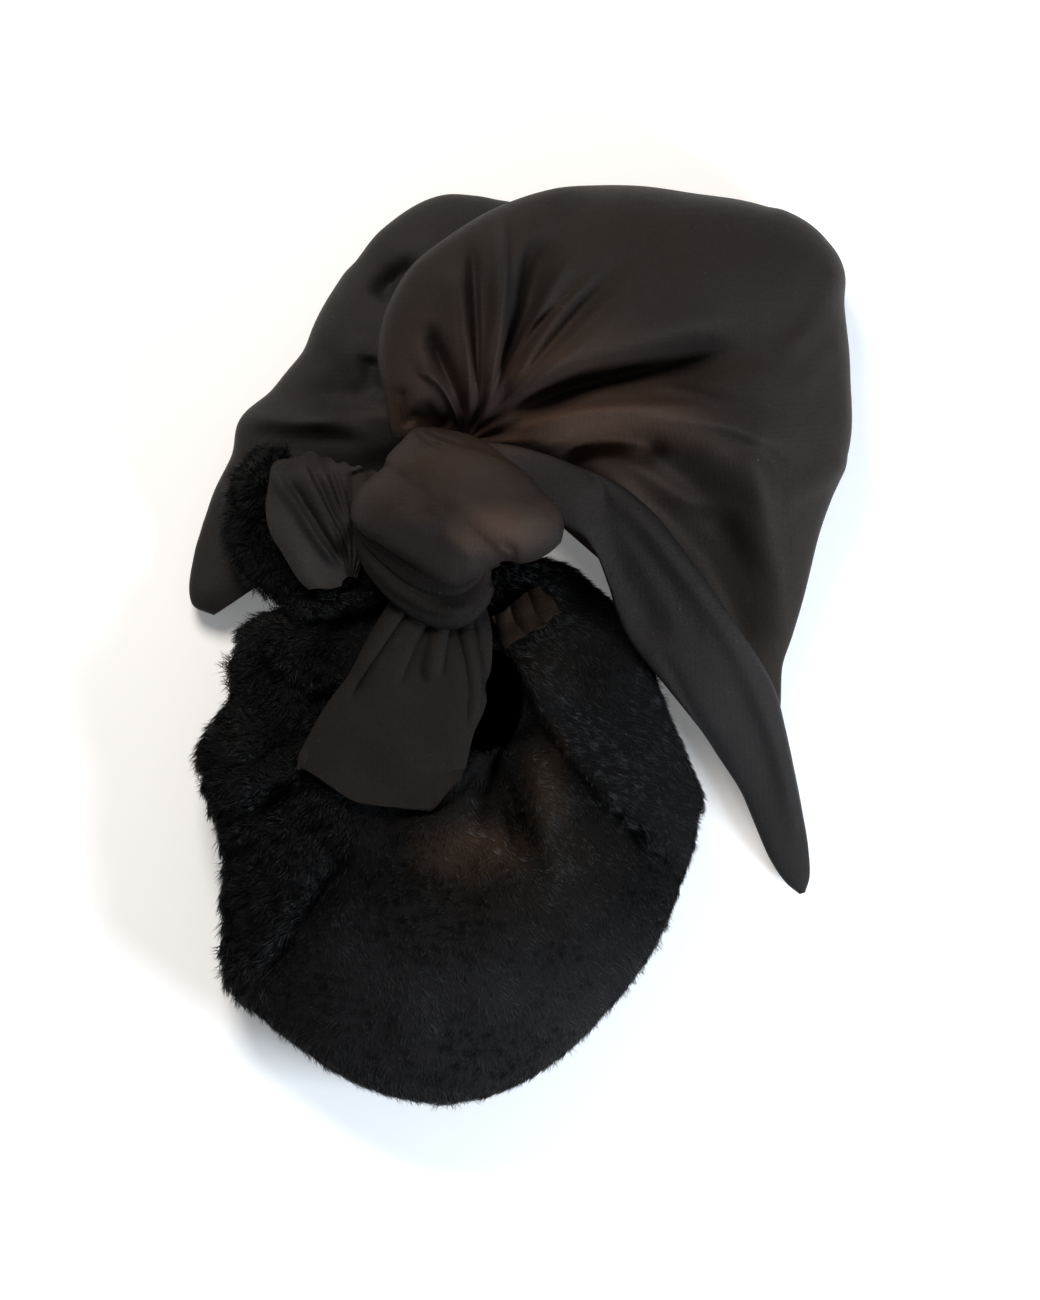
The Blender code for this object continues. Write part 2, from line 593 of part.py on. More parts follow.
def side_tab():
    """The pleated tab to the left of the knot: a fan gathered at the knot's lower left corner."""
    start = from_knot(TAB_PLACE) + Vector((0, 0, TAB_HEIGHT * KNOT_MIDDLE_HEIGHT))
    first, last = TAB_OUTLINE[0].bearing, TAB_OUTLINE[-1].bearing

    def place(u, v):
        bearing = last + (first - last) * u
        reach = TAB_LENGTH * column(TAB_OUTLINE, "reach", bearing)
        distance = TAB_GATHER + (reach - TAB_GATHER) * v
        pleats = math.cos(2 * math.pi * TAB_PLEATS * u**0.8) * ramp(distance, TAB_GATHER, TAB_LENGTH)
        height = TAB_PLEAT_DEPTH * pleats * ramp(u, 0.15, 0.45) + TAB_ARCH * math.sin(math.pi * v * 0.8)
        at = start + polar(bearing, distance) + Vector((0, 0, height))
        at.z = max(at.z, height_below(at) + LAY_CLEARANCE + CLOTH_WALL)
        return at

    return thicken(sheet("side_tab", 18, 7, place), CLOTH_WALL)


def inner_tab():
    """The second gathered tab, laid on the hood, which shows between the knot and the fur at its right."""
    start = from_knot(INNER_TAB_PLACE)

    def place(u, v):
        at = start + Vector((u * INNER_TAB_WIDTH, v * INNER_TAB_LENGTH + 0.35 * u * INNER_TAB_WIDTH, 0.0))
        from_hood = at - hood_middle()
        pleats = INNER_TAB_PLEAT_DEPTH * (1.0 + math.cos(u * INNER_TAB_PLEATS * 2 * math.pi))
        at.z = hood_top(bearing_of(from_hood), from_hood.length) + CLOTH_WALL + LAY_CLEARANCE + pleats
        return at

    return thicken(sheet("inner_tab", 12, 5, place), CLOTH_WALL)


def fur_roll():
    """The roll of longer fur round the side tab, in locks."""
    start = from_knot(TAB_PLACE)
    roll = strip(
        "fur_roll", FUR_ROLL, TAB_LENGTH, 2 * FUR_ROLL_RADIUS, 2 * FUR_ROLL_RADIUS, 24, 12, 1.0, start
    )
    for vertex in roll.data.vertices:
        if vertex.normal.z > -0.2:
            vertex.co += vertex.normal * 0.3 * LOCK_DEPTH * locks(vertex.co.y, vertex.co.x)
    return roll


def swollen(obj, by):
    """A copy of a piece, larger by a clearance all round, to cut room for it."""
    copy = obj.copy()
    copy.data = obj.data.copy()
    bpy.context.scene.collection.objects.link(copy)
    normals = [vertex.normal.copy() for vertex in copy.data.vertices]
    for vertex, normal in zip(copy.data.vertices, normals):
        vertex.co += normal * by
    return copy


def make_room(obj, *neighbours):
    """Cuts each neighbour's place out of a piece, with the clearance that keeps them apart."""
    for neighbour in neighbours:
        cutter = swollen(neighbour, ROOM)
        cut = obj.modifiers.new("room", "BOOLEAN")
        cut.operation = "DIFFERENCE"
        cut.object = cutter
        bpy.context.view_layer.objects.active = obj
        bpy.ops.object.modifier_apply(modifier=cut.name)
        bpy.data.objects.remove(cutter)


def centre_on_floor(parts):
    """Moves the whole so that the middle of its underside is the origin."""
    corners = [vertex.co for part in parts for vertex in part.data.vertices]
    low = Vector([min(c[i] for c in corners) for i in range(3)])
    high = Vector([max(c[i] for c in corners) for i in range(3)])
    shift = Vector((-(low.x + high.x) / 2, -(low.y + high.y) / 2, -low.z))
    for part in parts:
        for vertex in part.data.vertices:
            vertex.co += shift


def main():
    for obj in list(bpy.data.objects):
        bpy.data.objects.remove(obj)
    knot, under = knot_wrap(), knot_under()
    front, back, long_tail = crown_front(), crown_back(), tail_long()
    short_tail, tab, second_tab = tail_short(), side_tab(), inner_tab()
    hood, roll = fur_hood(), fur_roll()
    make_room(under, knot)
    for part in (front, back, long_tail):
        make_room(part, knot)
    for part in (short_tail, tab, second_tab, hood):
        make_room(part, knot, under)

    satin, fur = material("satin", SATIN), material("fur", FUR)
    shown = collection("turban_headwrap")
    parts = {
        part: satin for part in (front, back, knot, under, long_tail, short_tail, tab, second_tab)
    } | {hood: fur, roll: fur}
    for part, look in parts.items():
        for old in list(part.users_collection):
            old.objects.unlink(part)
        shown.objects.link(part)
        part.data.materials.append(look)
        part.data.shade_smooth()
        part.data.set_sharp_from_angle(angle=math.radians(50))
    centre_on_floor(parts)


main()
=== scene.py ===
"""A dark satin turban headwrap with a black fur hood, tied in one large knot and lying on its back.

Places are in metres from the middle of the knot until a mesh is made, and KNOT_PLACE then puts it in the frame.
The lines of folds and the stations of strips are in millimetres from the middle of the knot.
"""

import math
from collections import namedtuple

import bmesh
import bpy
import numpy as np
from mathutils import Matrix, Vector, kdtree


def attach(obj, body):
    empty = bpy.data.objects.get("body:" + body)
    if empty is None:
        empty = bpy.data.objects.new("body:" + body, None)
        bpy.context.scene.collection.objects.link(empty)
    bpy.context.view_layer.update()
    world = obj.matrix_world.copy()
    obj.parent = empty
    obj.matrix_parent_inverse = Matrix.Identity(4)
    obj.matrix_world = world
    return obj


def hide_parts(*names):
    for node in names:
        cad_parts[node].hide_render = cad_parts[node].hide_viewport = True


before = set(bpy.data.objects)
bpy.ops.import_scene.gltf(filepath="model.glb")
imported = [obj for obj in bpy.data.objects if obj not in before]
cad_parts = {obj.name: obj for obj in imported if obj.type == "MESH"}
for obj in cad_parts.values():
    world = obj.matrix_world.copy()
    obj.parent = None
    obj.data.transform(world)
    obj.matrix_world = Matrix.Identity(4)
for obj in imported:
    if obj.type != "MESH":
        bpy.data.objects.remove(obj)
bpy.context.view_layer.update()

# Place of the knot's middle in the frame
KNOT_PLACE = (-0.027135, 0.060541, 0)

# Walls and clearances
CLOTH_WALL = 0.0016
LAY_CLEARANCE = 0.0008

# Satin crown
CROWN_REACH = 0.192
CROWN_HEIGHT = 0.094
CROWN_HEM = 0.045
CROWN_ROLL = 0.016
BACK_REACH = 0.147
BACK_HEIGHT = 0.046
BACK_HEM = 0.04
BACK_ROLL = 0.0096
GATHER_MOUTH = 0.003
GATHER_DROP = 0.024
GATHER_SPREAD = 0.022
GATHER_PLEATS = 13
GATHER_PLEAT_DEPTH = 0.0026
GATHER_PLEAT_LENGTH = 0.04

# Knot
KNOT_REACH = 0.0515
KNOT_DEPTH = 0.066
KNOT_MIDDLE_HEIGHT = 0.078

# Fur hood
HOOD_REACH = 0.163
HOOD_HEIGHT = 0.08
HOOD_MOUTH = 0.05
HOOD_ROLL = 0.03
HOOD_MIDDLE = (0.018, -0.115)
MOUTH_SAG = 0.1
MOUTH_SHIFT = 0.01
LIP_SAG = 0.24
LIP_BEARING = -40
LIP_TURN = (95, 60)
SKIN_INSET = 0.004
SKIN_WALL = 0.003
ROOT_DEPTH = 0.0006
LOWEST_HAIR = 0.0004

# Tabs and the fur roll
TAB_LENGTH = 0.066
TAB_GATHER = 0.004
TAB_PLEATS = 9
TAB_PLEAT_DEPTH = 0.0006
TAB_ARCH = 0.006
TAB_HEIGHT = 0.7
INNER_TAB_PLEATS = 2.7
INNER_TAB_PLEAT_DEPTH = 0.0018

# How full each form's section is, and where along it the upper side and the rolled edge end
CLOTH_SHOULDER = 2.6
FUR_SHOULDER = 2.4
CLOTH_ENDS = (0.68, 0.84)
FUR_ENDS = (0.58, 0.78)

# Folds: the shares of their length over which they rise and fall, and how strongly the fine lines show
FOLD_RISE = 0.22
PLEAT_RISE = 0.1
FOLD_FALL = 0.4
LINE_ENDS = 0.22
CROWN_LINE_STRENGTH = 1.35
HOOD_LINE_STRENGTH = 1.4

# Between these bearings the pouch's edge leaves the floor and is seated on the lower layer.
CROWN_SEAT_TURN = (62, 71)
CROWN_SEAT_HEM = 0.1

GATHER = (0.045 * KNOT_REACH, 0.67 * KNOT_REACH)
TAB_CORNER = (-0.98 * KNOT_REACH, -0.6 * KNOT_REACH)
INNER_TAB_CORNERS = ((14.3, -46), (35.5, -31), (46, -43), (20.5, -60))

# A fold's bearings at four shares of the reach, its first and last share, its depth, and its widths near and far
Fold = namedtuple("Fold", "at_1 at_4 at_7 at_10 start end depth near far")
Waves = namedtuple("Waves", "height size seed")
# Hair: rise is its angle off the skin, spacing that of its locks, and pull how far tips are drawn to a lock's middle
Hair = namedtuple("Hair", "count length width rise spacing pull segments curl")

CROWN_WAVES = Waves(0.0005, 0.045, 3)
BACK_WAVES = Waves(0.0006, 0.04, 4)
LARGE_TUFTS = Waves(0.0026, 0.034, 8)
SMALL_TUFTS = Waves(0.0009, 0.013, 9)
KNOT_WAVES = Waves(0.0004, 0.03, 12)
TAIL_WAVES = Waves(0.0007, 0.035, 19)
TAB_WAVES = Waves(0.0004, 0.018, 17)
INNER_TAB_WAVES = (Waves(0.0006, 0.014, 33), Waves(0.0006, 0.014, 34))
NAP_SWIRL = Waves(0.55, 0.05, 31)

SHORT_HAIR = Hair(49000, 0.0062, 0.00044, 0.24, 0.005, 0.4, 1, 0)
SHAGGY_HAIR = Hair(18500, 0.0088, 0.00042, 0.3, 0.007, 0.6, 2, 0.3)
ROLL_HAIR = Hair(7500, 0.0085, 0.00038, 0.42, 0.006, 0.6, 2, 0.3)

# Bearing in degrees round the gather, and reach as a share
CROWN_OUTLINE = (
    (-41, 1), (-35, 0.93), (-26, 0.892), (-17, 0.873), (-9, 0.884), (0, 0.92), (10, 0.936), (20, 0.962), (26, 1),
    (32, 0.975), (40, 0.895), (48, 0.805), (56, 0.742), (66, 0.672), (79, 0.586), (94, 0.496), (108, 0.434),
    (120, 0.372), (134, 0.3), (152, 0.215), (176, 0.175),
)
# Bearing, top and edge
CROWN_SECTIONS = (
    (-41, 0.34, 0.44), (-25, 0.52, 0.46), (-5, 0.78, 0.44), (20, 0.9, 0.42), (45, 1, 0.42), (70, 1, 0.4),
    (84, 0.98, 0.34), (110, 0.95, 0.44), (140, 0.9, 0.48), (176, 0.84, 0.5),
)
CROWN_FOLDS = (
    Fold(104, 114, 118, 120, 0.03, 0.3, -0.1, 0.02, 0.035),
    Fold(65, 78, 84, 84, 0.03, 0.55, 0.05, 0.014, 0.022),
    Fold(56, 66, 67, 67, 0.03, 0.6, -0.07, 0.016, 0.05),
    Fold(46, 50, 48, 48, 0.05, 0.65, -0.04, 0.016, 0.045),
    Fold(35, 40, 43, 43, 0.05, 0.7, 0.05, 0.02, 0.08),
    Fold(31, 23, 18, 16, 0.03, 0.85, -0.14, 0.03, 0.06),
    Fold(20, 12, 7, 6, 0.04, 0.7, 0.04, 0.024, 0.03),
    Fold(9, 6, -9, -34, 0.04, 1, 0.09, 0.034, 0.1),
    Fold(2, -2, -21, -38, 0.06, 0.98, -0.15, 0.034, 0.11),
)
# Folds along bent lines: how far each lifts the cloth, its widths to its left and its right, then its points' x and y
CROWN_LINES = (
    (4, 1.4, 4, 0.5, 40, -1.9, 47, -8.9, 59.5, -20, 66.5),
    (-5, 6, 3, -5, 41, -12, 46, -18, 53),
    (-3, 2.6, 2.6, -26.9, 60, -26.2, 50, -23, 40),
    (-3.6, 3.4, 3.4, -16, 90, -10.5, 76, -5, 60, 2.8, 43),
    (4.2, 5.5, 7, -5.5, 119, -1.9, 108.7, 1.5, 77.5, 5.15, 44),
    (-4, 2.8, 2.8, 5.2, 130.6, 5.9, 118, 7, 90, 8.3, 46),
    (1.5, 1.2, 1.2, 8.6, 112, 9.6, 85, 9.4, 48),
    (5, 1.2, 6, 19.2, 139, 21.1, 115, 20, 90, 16.1, 68, 11, 45),
    (-4, 8, 3, 36, 137, 29, 108.7, 24.5, 84, 18, 62),
    (3, 2.8, 2.2, 55.2, 122.8, 41.1, 102.5, 27, 77.5, 17.7, 57, 12.5, 44),
    (-3.4, 3.4, 2.6, 45, 98, 34, 84, 22.4, 66.5, 13.8, 45),
    (2.8, 4.5, 2.4, 68, 116, 50.5, 97.8, 34.9, 77.5, 19.2, 51),
    (-2, 12, 12, 105, 128, 89, 115, 73, 100, 59, 87, 39, 67),
    (5, 17, 4, 18, 47, 27, 56, 41, 63.4, 63, 70.4, 86.5, 76, 110, 80.6, 130, 86),
    (-5, 7, 4, 13, 40, 29, 49, 53, 60, 78, 66, 111, 77, 128, 82),
    (2, 2.2, 2.4, 15, 39, 24, 46, 35, 51, 55, 56, 75, 58.7, 94, 59.5, 126, 50),
    (-2.2, 2, 2.2, 17, 37, 36, 46, 57, 52, 87, 54, 105, 53),
    (7, 12, 3.6, 18, 33, 31, 34, 47, 37, 63, 42, 78, 44, 97, 44, 118, 42, 140, 34, 160, 20),
    (-8.5, 3.6, 5.5, 38, 27, 48, 30.5, 63, 35.5, 79, 36.8, 90, 33, 96, 26),
    (5.2, 5.5, 8, 132, 46, 135, 21, 138, -3, 144, -28, 147, -54, 148, -69),
    (4.2, 6, 5, 64, 31, 82, 22, 95, 13, 105, 8, 124, 3, 134, -12, 141, -33),
    (3.2, 8, 5, 173, 120, 166, 100, 156, 83, 142, 72),
    (1.8, 5, 6, 177, 82, 169, 77, 161, 67, 159, 55),
    (3.4, 5, 7, 177, 31, 167, 20, 156, 12, 143, 6),
    (2, 5, 9, 173, 132, 163, 136, 151, 140, 140, 144),
    (-7, 9, 7, 71, 20, 92, 4, 112, -19, 128, -47, 138, -74),
)
BACK_OUTLINE = (
    (72, 0.775), (82, 0.776), (87, 0.783), (94, 0.784), (101, 0.768), (111, 0.725), (124, 0.664), (133, 0.632),
    (149, 0.598), (164, 0.636), (174, 0.718), (183, 0.742), (194, 0.84), (202, 0.925), (210, 1), (214, 0.96),
)
BACK_SECTIONS = (
    (72, 1, 0.3), (82, 1, 0.3), (120, 1, 0.3), (160, 0.98, 0.29), (180, 0.86, 0.3), (195, 0.66, 0.36), (214, 0.5, 0.44),
)
BACK_FOLDS = (
    Fold(172, 172, 173, 174, 0.26, 0.74, 0.12, 0.04, 0.05),
    Fold(158, 160, 162, 164, 0.2, 0.6, -0.2, 0.06, 0.07),
    Fold(150, 150, 150, 150, 0.25, 0.7, -0.1, 0.05, 0.06),
    Fold(112, 114, 115, 115, 0.38, 0.7, -0.26, 0.07, 0.07),
    Fold(184, 188, 191, 193, 0.4, 0.86, 0.12, 0.05, 0.06),
)
BACK_LINES = (
    (3.2, 3, 5, -103, 49, -92, 46, -74, 43, -51, 49, -35, 46, -27, 41),
    (-2.6, 4, 5, -101, 37, -81, 41, -60, 38, -41, 33),
    (-8, 4.5, 4, -39, 100, -34, 110, -26, 115, -19, 113),
    (-6, 5, 5, -37, 56, -41, 66, -40, 75),
    (1.6, 5, 4, -46, 87, -50, 72, -48, 58),
    (-2, 6, 6, -55, 113, -41, 123, -29, 130, -14, 135),
    (1.6, 7, 7, -46, 123, -33, 136, -14, 144, 4, 145),
    (1.8, 7, 6, -74, 67, -63, 87, -50, 105, -41, 118),
    (1.4, 5, 5, -105, 22, -108, -1, -113, -24, -110, -38),
    (-1.2, 5, 5, -120, -1, -115, -17, -117, -33),
)
KNOT_OUTLINE = (
    (-14, 0.92), (0, 0.91), (21, 0.765), (47, 0.68), (70, 0.7), (96, 0.77), (109, 0.84), (117.5, 0.88), (128, 0.85),
    (141, 0.84), (147, 0.81), (158, 0.88), (169, 0.955), (181, 0.965), (189, 0.89), (198, 0.76), (212, 0.65),
    (227, 0.6), (253, 0.61), (263, 0.61), (275, 0.58), (295, 0.52), (310, 0.53), (317, 0.57), (323, 0.68), (333, 0.8),
    (346, 0.92),
)
KNOT_LINES = (
    (3.2, 1, 9, -17, 36, -5, 33, 9, 29, 20, 25, 39, 16),
    (2.4, 1, 6, 39, 16, 46, 5, 49, -5, 48, -14),
    (3.2, 9, 7, -10, 15, 5, 3, 18, -6, 34, -11),
    (-1.6, 4, 5, -22, 24, -17, 10, -16, -4),
    (-2.2, 1.3, 1.3, -21, 41, -17, 36, -12, 32.8, -5, 30.5),
    (-1.6, 1.1, 1.1, -17.6, 41, -11, 36.8, -4.8, 34.4, 4, 31.5),
    (1.2, 4, 4, -10, -6, 0, -14, 9, -20),
    (-3.2, 2, 2, 26, -21, 24, -19, 23, -15, 18, -14),
    (5, 7, 0.8, -41, -3, -34, -15, -23, -22, -13, -29, -3, -35, 4, -34, 13, -27, 23, -22),
    (-0.9, 6, 6, -32, 22, -23, 8, -19, -5),
)
LAYER_LINES = (
    (1.6, 4, 1.2, -47, -12, -38, -27, -26, -37, -12, -43, 0, -43, 8, -37),
    (-1, 2, 2, -42, -24, -30, -36, -17, -43),
)
HOOD_OUTLINE = (
    (-170, 0.842), (-164, 0.834), (-155, 0.873), (-147, 0.965), (-142, 0.992), (-136, 0.997), (-125, 0.992), (-116, 1),
    (-106, 0.992), (-100, 0.983), (-92, 0.952), (-85, 0.904), (-76, 0.839), (-66, 0.769), (-53, 0.704), (-39, 0.651),
    (-27, 0.608), (-14, 0.597), (-8, 0.6), (0, 0.565), (15, 0.527), (29, 0.53), (36, 0.556), (47, 0.572), (58, 0.592),
    (65, 0.606), (73, 0.63), (90, 0.61), (102, 0.605), (124, 0.655), (141, 0.755), (150, 0.84), (158, 0.826),
    (166, 0.817), (174, 0.862), (182, 0.865), (190, 0.842),
)
HOOD_SECTIONS = (
    (-180, 0.84, 0.48), (-135, 0.9, 0.44), (-90, 1, 0.4), (-45, 0.92, 0.46), (0, 0.82, 0.51), (40, 0.7, 0.51),
    (75, 0.64, 0.47), (105, 0.63, 0.44), (130, 0.64, 0.47), (155, 0.74, 0.49), (180, 0.84, 0.48),
)
MOUTH_OUTLINE = (
    (-180, 0.36), (-165, 0.18), (-150, 0.11), (-125, 0.07), (-100, 0.06), (-65, 0.05), (-20, 0.05), (5, 0.06),
    (30, 0.11), (50, 0.26), (65, 0.5), (80, 0.78), (95, 0.9), (135, 0.92), (160, 0.62), (180, 0.36),
)
BAND_STEP = (8, 14, 2, 17, -63, 32, -87, 48, -109, 73, -134, 94, -153, 106, -169)
HOOD_LINES = (
    BAND_STEP,
    (-2.2, 3, 3.5, 105, -169, 103, -189, 89, -215, 69, -235, 46, -254, 18, -267, -14, -270),
    (-6, 7, 6, -50, -148, -59, -165, -74, -189, -87, -207, -98, -222),
    (-6.5, 6, 6, -54, -106, -69, -118, -84, -130, -102, -138, -120, -143),
    (4.5, 6, 10, -34, -156, -14, -143, 0, -148, 18, -160, 39, -166, 58, -162),
    (5, 7, 5, 33, -106, 35.7, -132, 39, -151, 46, -172),
    (-8, 5, 6, 12, -108, 20, -130, 26, -146, 31, -159),
    (-6, 6, 6, 2, -124, 9, -134, 16, -142),
    (4, 4, 5, 43, -109, 58, -124, 74, -134),
    (-3.6, 9, 10, 47, -136, 62, -147, 74, -150, 88, -146),
    (-1.6, 10, 12, -74, -222, -37, -240, 4, -245, 46, -231),
    (-5, 7, 7, -97, -65, -79, -79, -60, -84, -50, -79),
    (3, 8, 8, -113, -93, -99, -111, -79, -116, -60, -104),
    (3, 9, 8, -109, -162, -92, -166, -74, -159, -60, -147),
)
# From the top to the bottom: the shaggy side of the hood lies to the left of this line.
SHAGGY_SIDE = ((-48, -19), (-51, -74), (-53, -111), (-50, -150), (-74, -189), (-97, -223))

# Strips: the middle line's x, y and height, then width and thickness, in millimetres from the knot
LONG_TAIL = (
    (-4, 29, 80, 10, 6), (14, 24, 82, 20, 10), (32, 17.6, 83, 25, 11), (49, 10.3, 81, 27, 12), (64, 3, 77, 29, 13),
    (76, -9, 71, 33, 13), (84.5, -23, 65.5, 38, 12.5), (90.5, -34.5, 60, 42.5, 12), (97, -45.7, 55, 44.5, 12),
    (110.5, -63.5, 46, 43, 12), (125, -84, 37, 40, 11.5), (133.5, -102, 29, 34, 11), (141, -120, 22, 27, 10.5),
    (146.5, -137.5, 16, 23, 10), (151.3, -153.5, 12, 19, 9), (155.6, -166, 9.5, 12, 7), (157.8, -173, 8.5, 3, 3),
)
LONG_LINES = (
    (3, 7, 5, 64, 17, 82, -1, 101, -24, 119, -48, 133, -74, 145, -104, 153, -134, 157, -160),
    (-1.4, 5, 4, 69, 6, 82, -12, 99, -38, 113, -65),
    (-4.5, 9, 7, 58, 18, 63, 7, 67, -8, 74, -24, 84, -44, 95, -62),
    (-1.2, 2, 3, 57, 22, 64, 14, 67, 3),
    (-1.2, 3, 3, 88, -56, 97, -71, 110, -95, 127, -120),
)
# The short tail's left and right edges from the knot to its end, and its height there
SHORT_TAIL_LEFT = ((-25, -30), (-31, -40.5), (-39.1, -53.9), (-50.1, -73.9), (-61.2, -88.5), (-75.4, -113.9))
SHORT_TAIL_RIGHT = ((5, -30), (9.5, -40), (12.9, -55.9), (11, -79.9), (5, -97.3), (0, -121.7))
SHORT_TAIL_HEIGHTS = (60, 61, 62.5, 64, 65.5, 66.5)
SHORT_TAIL_BULGE = 14
SHORT_LINES = (
    (1.8, 4, 4, -26, -38, -37, -56, -48, -73, -58, -88),
    (-3.4, 1.8, 2.6, -21, -40, -26, -47, -34.7, -59.4, -42.4, -71.6, -51, -86),
    (-2, 2.2, 2.4, -14, -44, -16, -52, -21.5, -61.6, -29, -79),
    (2.2, 2.6, 2.4, -9, -44, -9.5, -52, -12, -61.6, -15, -76),
    (-2, 1.2, 1.4, -6, -44, -6, -52, -7.1, -61.6, -8.2, -74.9),
    (1.8, 2.2, 1.4, 1.5, -44, 1.7, -50.6, 5, -66, 6.5, -82.6, 3, -98),
    (-1.8, 1.4, 1.8, 5, -44, 5.5, -49.5, 9.4, -71.5, 9, -84),
)
# Layers under the knot, each by its outer edge from the left round to the right, then height, width and thickness.
# Both lie on their side towards their middle.
LAYERS_MIDDLE = (-6, 0)
LOWER_LAYER = (
    (-46, 9, 66, 10, 9), (-49, -4, 67, 20, 12), (-45.5, -21, 67.5, 26, 14), (-35, -35, 67.5, 28, 15),
    (-23.5, -44.4, 67.5, 29, 15), (-13, -49.8, 67.5, 29, 15), (-3, -51, 67.5, 28, 15), (5, -45.5, 68, 26, 14),
    (9.5, -36, 69, 22, 12), (13, -25, 70, 12, 9),
)
UPPER_LAYER = (
    (-49.5, 4, 73, 8, 5), (-47.6, -5, 74, 15, 6.5), (-38, -18.5, 74.5, 17, 7.5), (-24.5, -30, 75, 18, 8),
    (-12.5, -35.4, 75, 18, 8), (-3, -36, 75, 17, 8), (5, -32, 75.5, 16, 7), (12, -25.5, 76, 12, 6), (20, -21, 77, 6, 4),
)
FUR_ROLL = (
    (-80, 29, 34, 5, 5), (-87, 27, 34, 11, 9), (-93.5, 19, 33, 16, 13), (-97.5, 5, 32, 19, 15),
    (-96.5, -9.5, 31.5, 20, 15), (-89, -21.5, 32, 19, 14), (-79, -29.5, 34, 17, 13), (-68, -34, 37, 17, 12),
    (-57, -32.5, 40, 18, 11), (-46, -28, 43, 20, 10), (-36, -24, 45, 16, 8), (-28, -22, 46, 8, 6),
)
# Bearing round the tab's corner, and reach
TAB_OUTLINE = (
    (68, 0.79), (83, 0.815), (94, 0.85), (101, 0.9), (107, 0.965), (113, 0.96), (122, 1), (129, 0.9), (138, 0.79),
    (147, 0.66), (155, 0.52), (165, 0.42), (186, 0.29),
)
TAB_LINES = (
    (4.6, 0.9, 3, -86, 23, -74.5, 5.5, -65.5, -9, -54.2, -25.2),
    (-2.6, 1.8, 1.2, -80, 19, -71.5, 6.5, -62.8, -7.5, -52.5, -23.5),
    (5, 0.9, 6, -73, 27, -64.6, 10.5, -57.4, -4, -50.3, -18.5),
    (3.4, 1.2, 2.6, -64, 24, -58.3, 11.1, -53.2, -2.4, -50.8, -13.1),
    (2.2, 1.2, 1.8, -58.5, 26, -54.8, 13.8, -51.6, 2, -50, -8),
    (2.2, 2, 0.9, -53, 20, -44, 23, -34, 24),
)


def ramp(value, low, high):
    """0 at low, 1 at high, and smooth between them."""
    share = np.clip((value - low) / (high - low), 0, 1)
    return share * share * (3 - 2 * share)


def through(keys, values, at):
    """A smooth line through the values at their keys."""
    keys, values = np.asarray(keys, float), np.asarray(values, float)
    at = np.clip(at, keys[0], keys[-1])
    last = np.clip(np.searchsorted(keys, at, side="right") - 1, 0, len(keys) - 2)
    slopes = np.empty(len(keys))
    slopes[1:-1] = (values[2:] - values[:-2]) / (keys[2:] - keys[:-2])
    slopes[0] = (values[1] - values[0]) / (keys[1] - keys[0])
    slopes[-1] = (values[-1] - values[-2]) / (keys[-1] - keys[-2])
    span = keys[last + 1] - keys[last]
    t = (at - keys[last]) / span
    return (
        (2 * t**3 - 3 * t**2 + 1) * values[last]
        + (t**3 - 2 * t**2 + t) * span * slopes[last]
        + (3 * t**2 - 2 * t**3) * values[last + 1]
        + (t**3 - t**2) * span * slopes[last + 1]
    )


def column(rows, index, at):
    rows = np.array(rows, float)
    return through(rows[:, 0], rows[:, index], at)


def around(x, y, middle):
    """Bearing in degrees and distance from a middle."""
    dx, dy = x - middle[0], y - middle[1]
    return np.degrees(np.arctan2(dy, dx)), np.hypot(dx, dy)


def beside(points, x, y):
    """How far places lie to the left of a bent line, less than 0 to its right, and how far along it."""
    points = np.reshape(points, (-1, 2)) / 1000
    keys = np.arange(len(points), dtype=float)
    fine = np.linspace(0, keys[-1], 6 * (len(points) - 1) + 1)
    px, py = through(keys, points[:, 0], fine), through(keys, points[:, 1], fine)
    lengths = np.hypot(np.diff(px), np.diff(py))
    nearest, side, along = np.full(x.shape, np.inf), np.zeros(x.shape), np.zeros(x.shape)
    for i, length in enumerate(lengths):
        dx, dy = px[i + 1] - px[i], py[i + 1] - py[i]
        t = np.clip(((x - px[i]) * dx + (y - py[i]) * dy) / length**2, 0, 1)
        ox, oy = x - px[i] - t * dx, y - py[i] - t * dy
        away = np.hypot(ox, oy)
        nearer = away < nearest
        nearest = np.where(nearer, away, nearest)
        side = np.where(nearer, dx * oy - dy * ox, side)
        along = np.where(nearer, (lengths[:i].sum() + t * length) / lengths.sum(), along)
    return nearest * np.sign(side), along


def line_lift(lines, x, y):
    """How far folds along bent lines lift a surface. Each has its own width on its left and its right."""
    lift = np.zeros(x.shape)
    for rise, left, right, *points in lines:
        off, along = beside(points, x, y)
        width = np.where(off > 0, left, right) / 1000
        ends = ramp(along, 0, LINE_ENDS) * ramp(along, 1, 1 - LINE_ENDS)
        lift += rise / 1000 * np.exp(-((off / width) ** 2)) * ends
    return lift


def waves(x, y, kind, count=14):
    """A smooth uneven field, up to about the kind's height either way, whose bumps are about its size across."""
    rng = np.random.default_rng(kind.seed)
    total = np.zeros(x.shape)
    for _ in range(count):
        angle, phase = rng.uniform(0, 2 * math.pi, 2)
        pitch = kind.size * rng.uniform(0.7, 1.6)
        total += np.cos((x * math.cos(angle) + y * math.sin(angle)) * 2 * math.pi / pitch + phase)
    return kind.height * (total / math.sqrt(count))


def polar(middle, bearing, distance):
    turn = np.radians(bearing)
    return middle[0] + distance * np.cos(turn), middle[1] + distance * np.sin(turn)


def unit(vectors):
    return vectors / np.maximum(np.linalg.norm(vectors, axis=1), 1e-9)[:, None]


def shoulder(share, squareness):
    """Height over the edge at a share of the reach: 1 in the middle and 0 at the edge."""
    return np.maximum(0, 1 - np.clip(share, 0, 1) ** squareness) ** (1 / squareness)


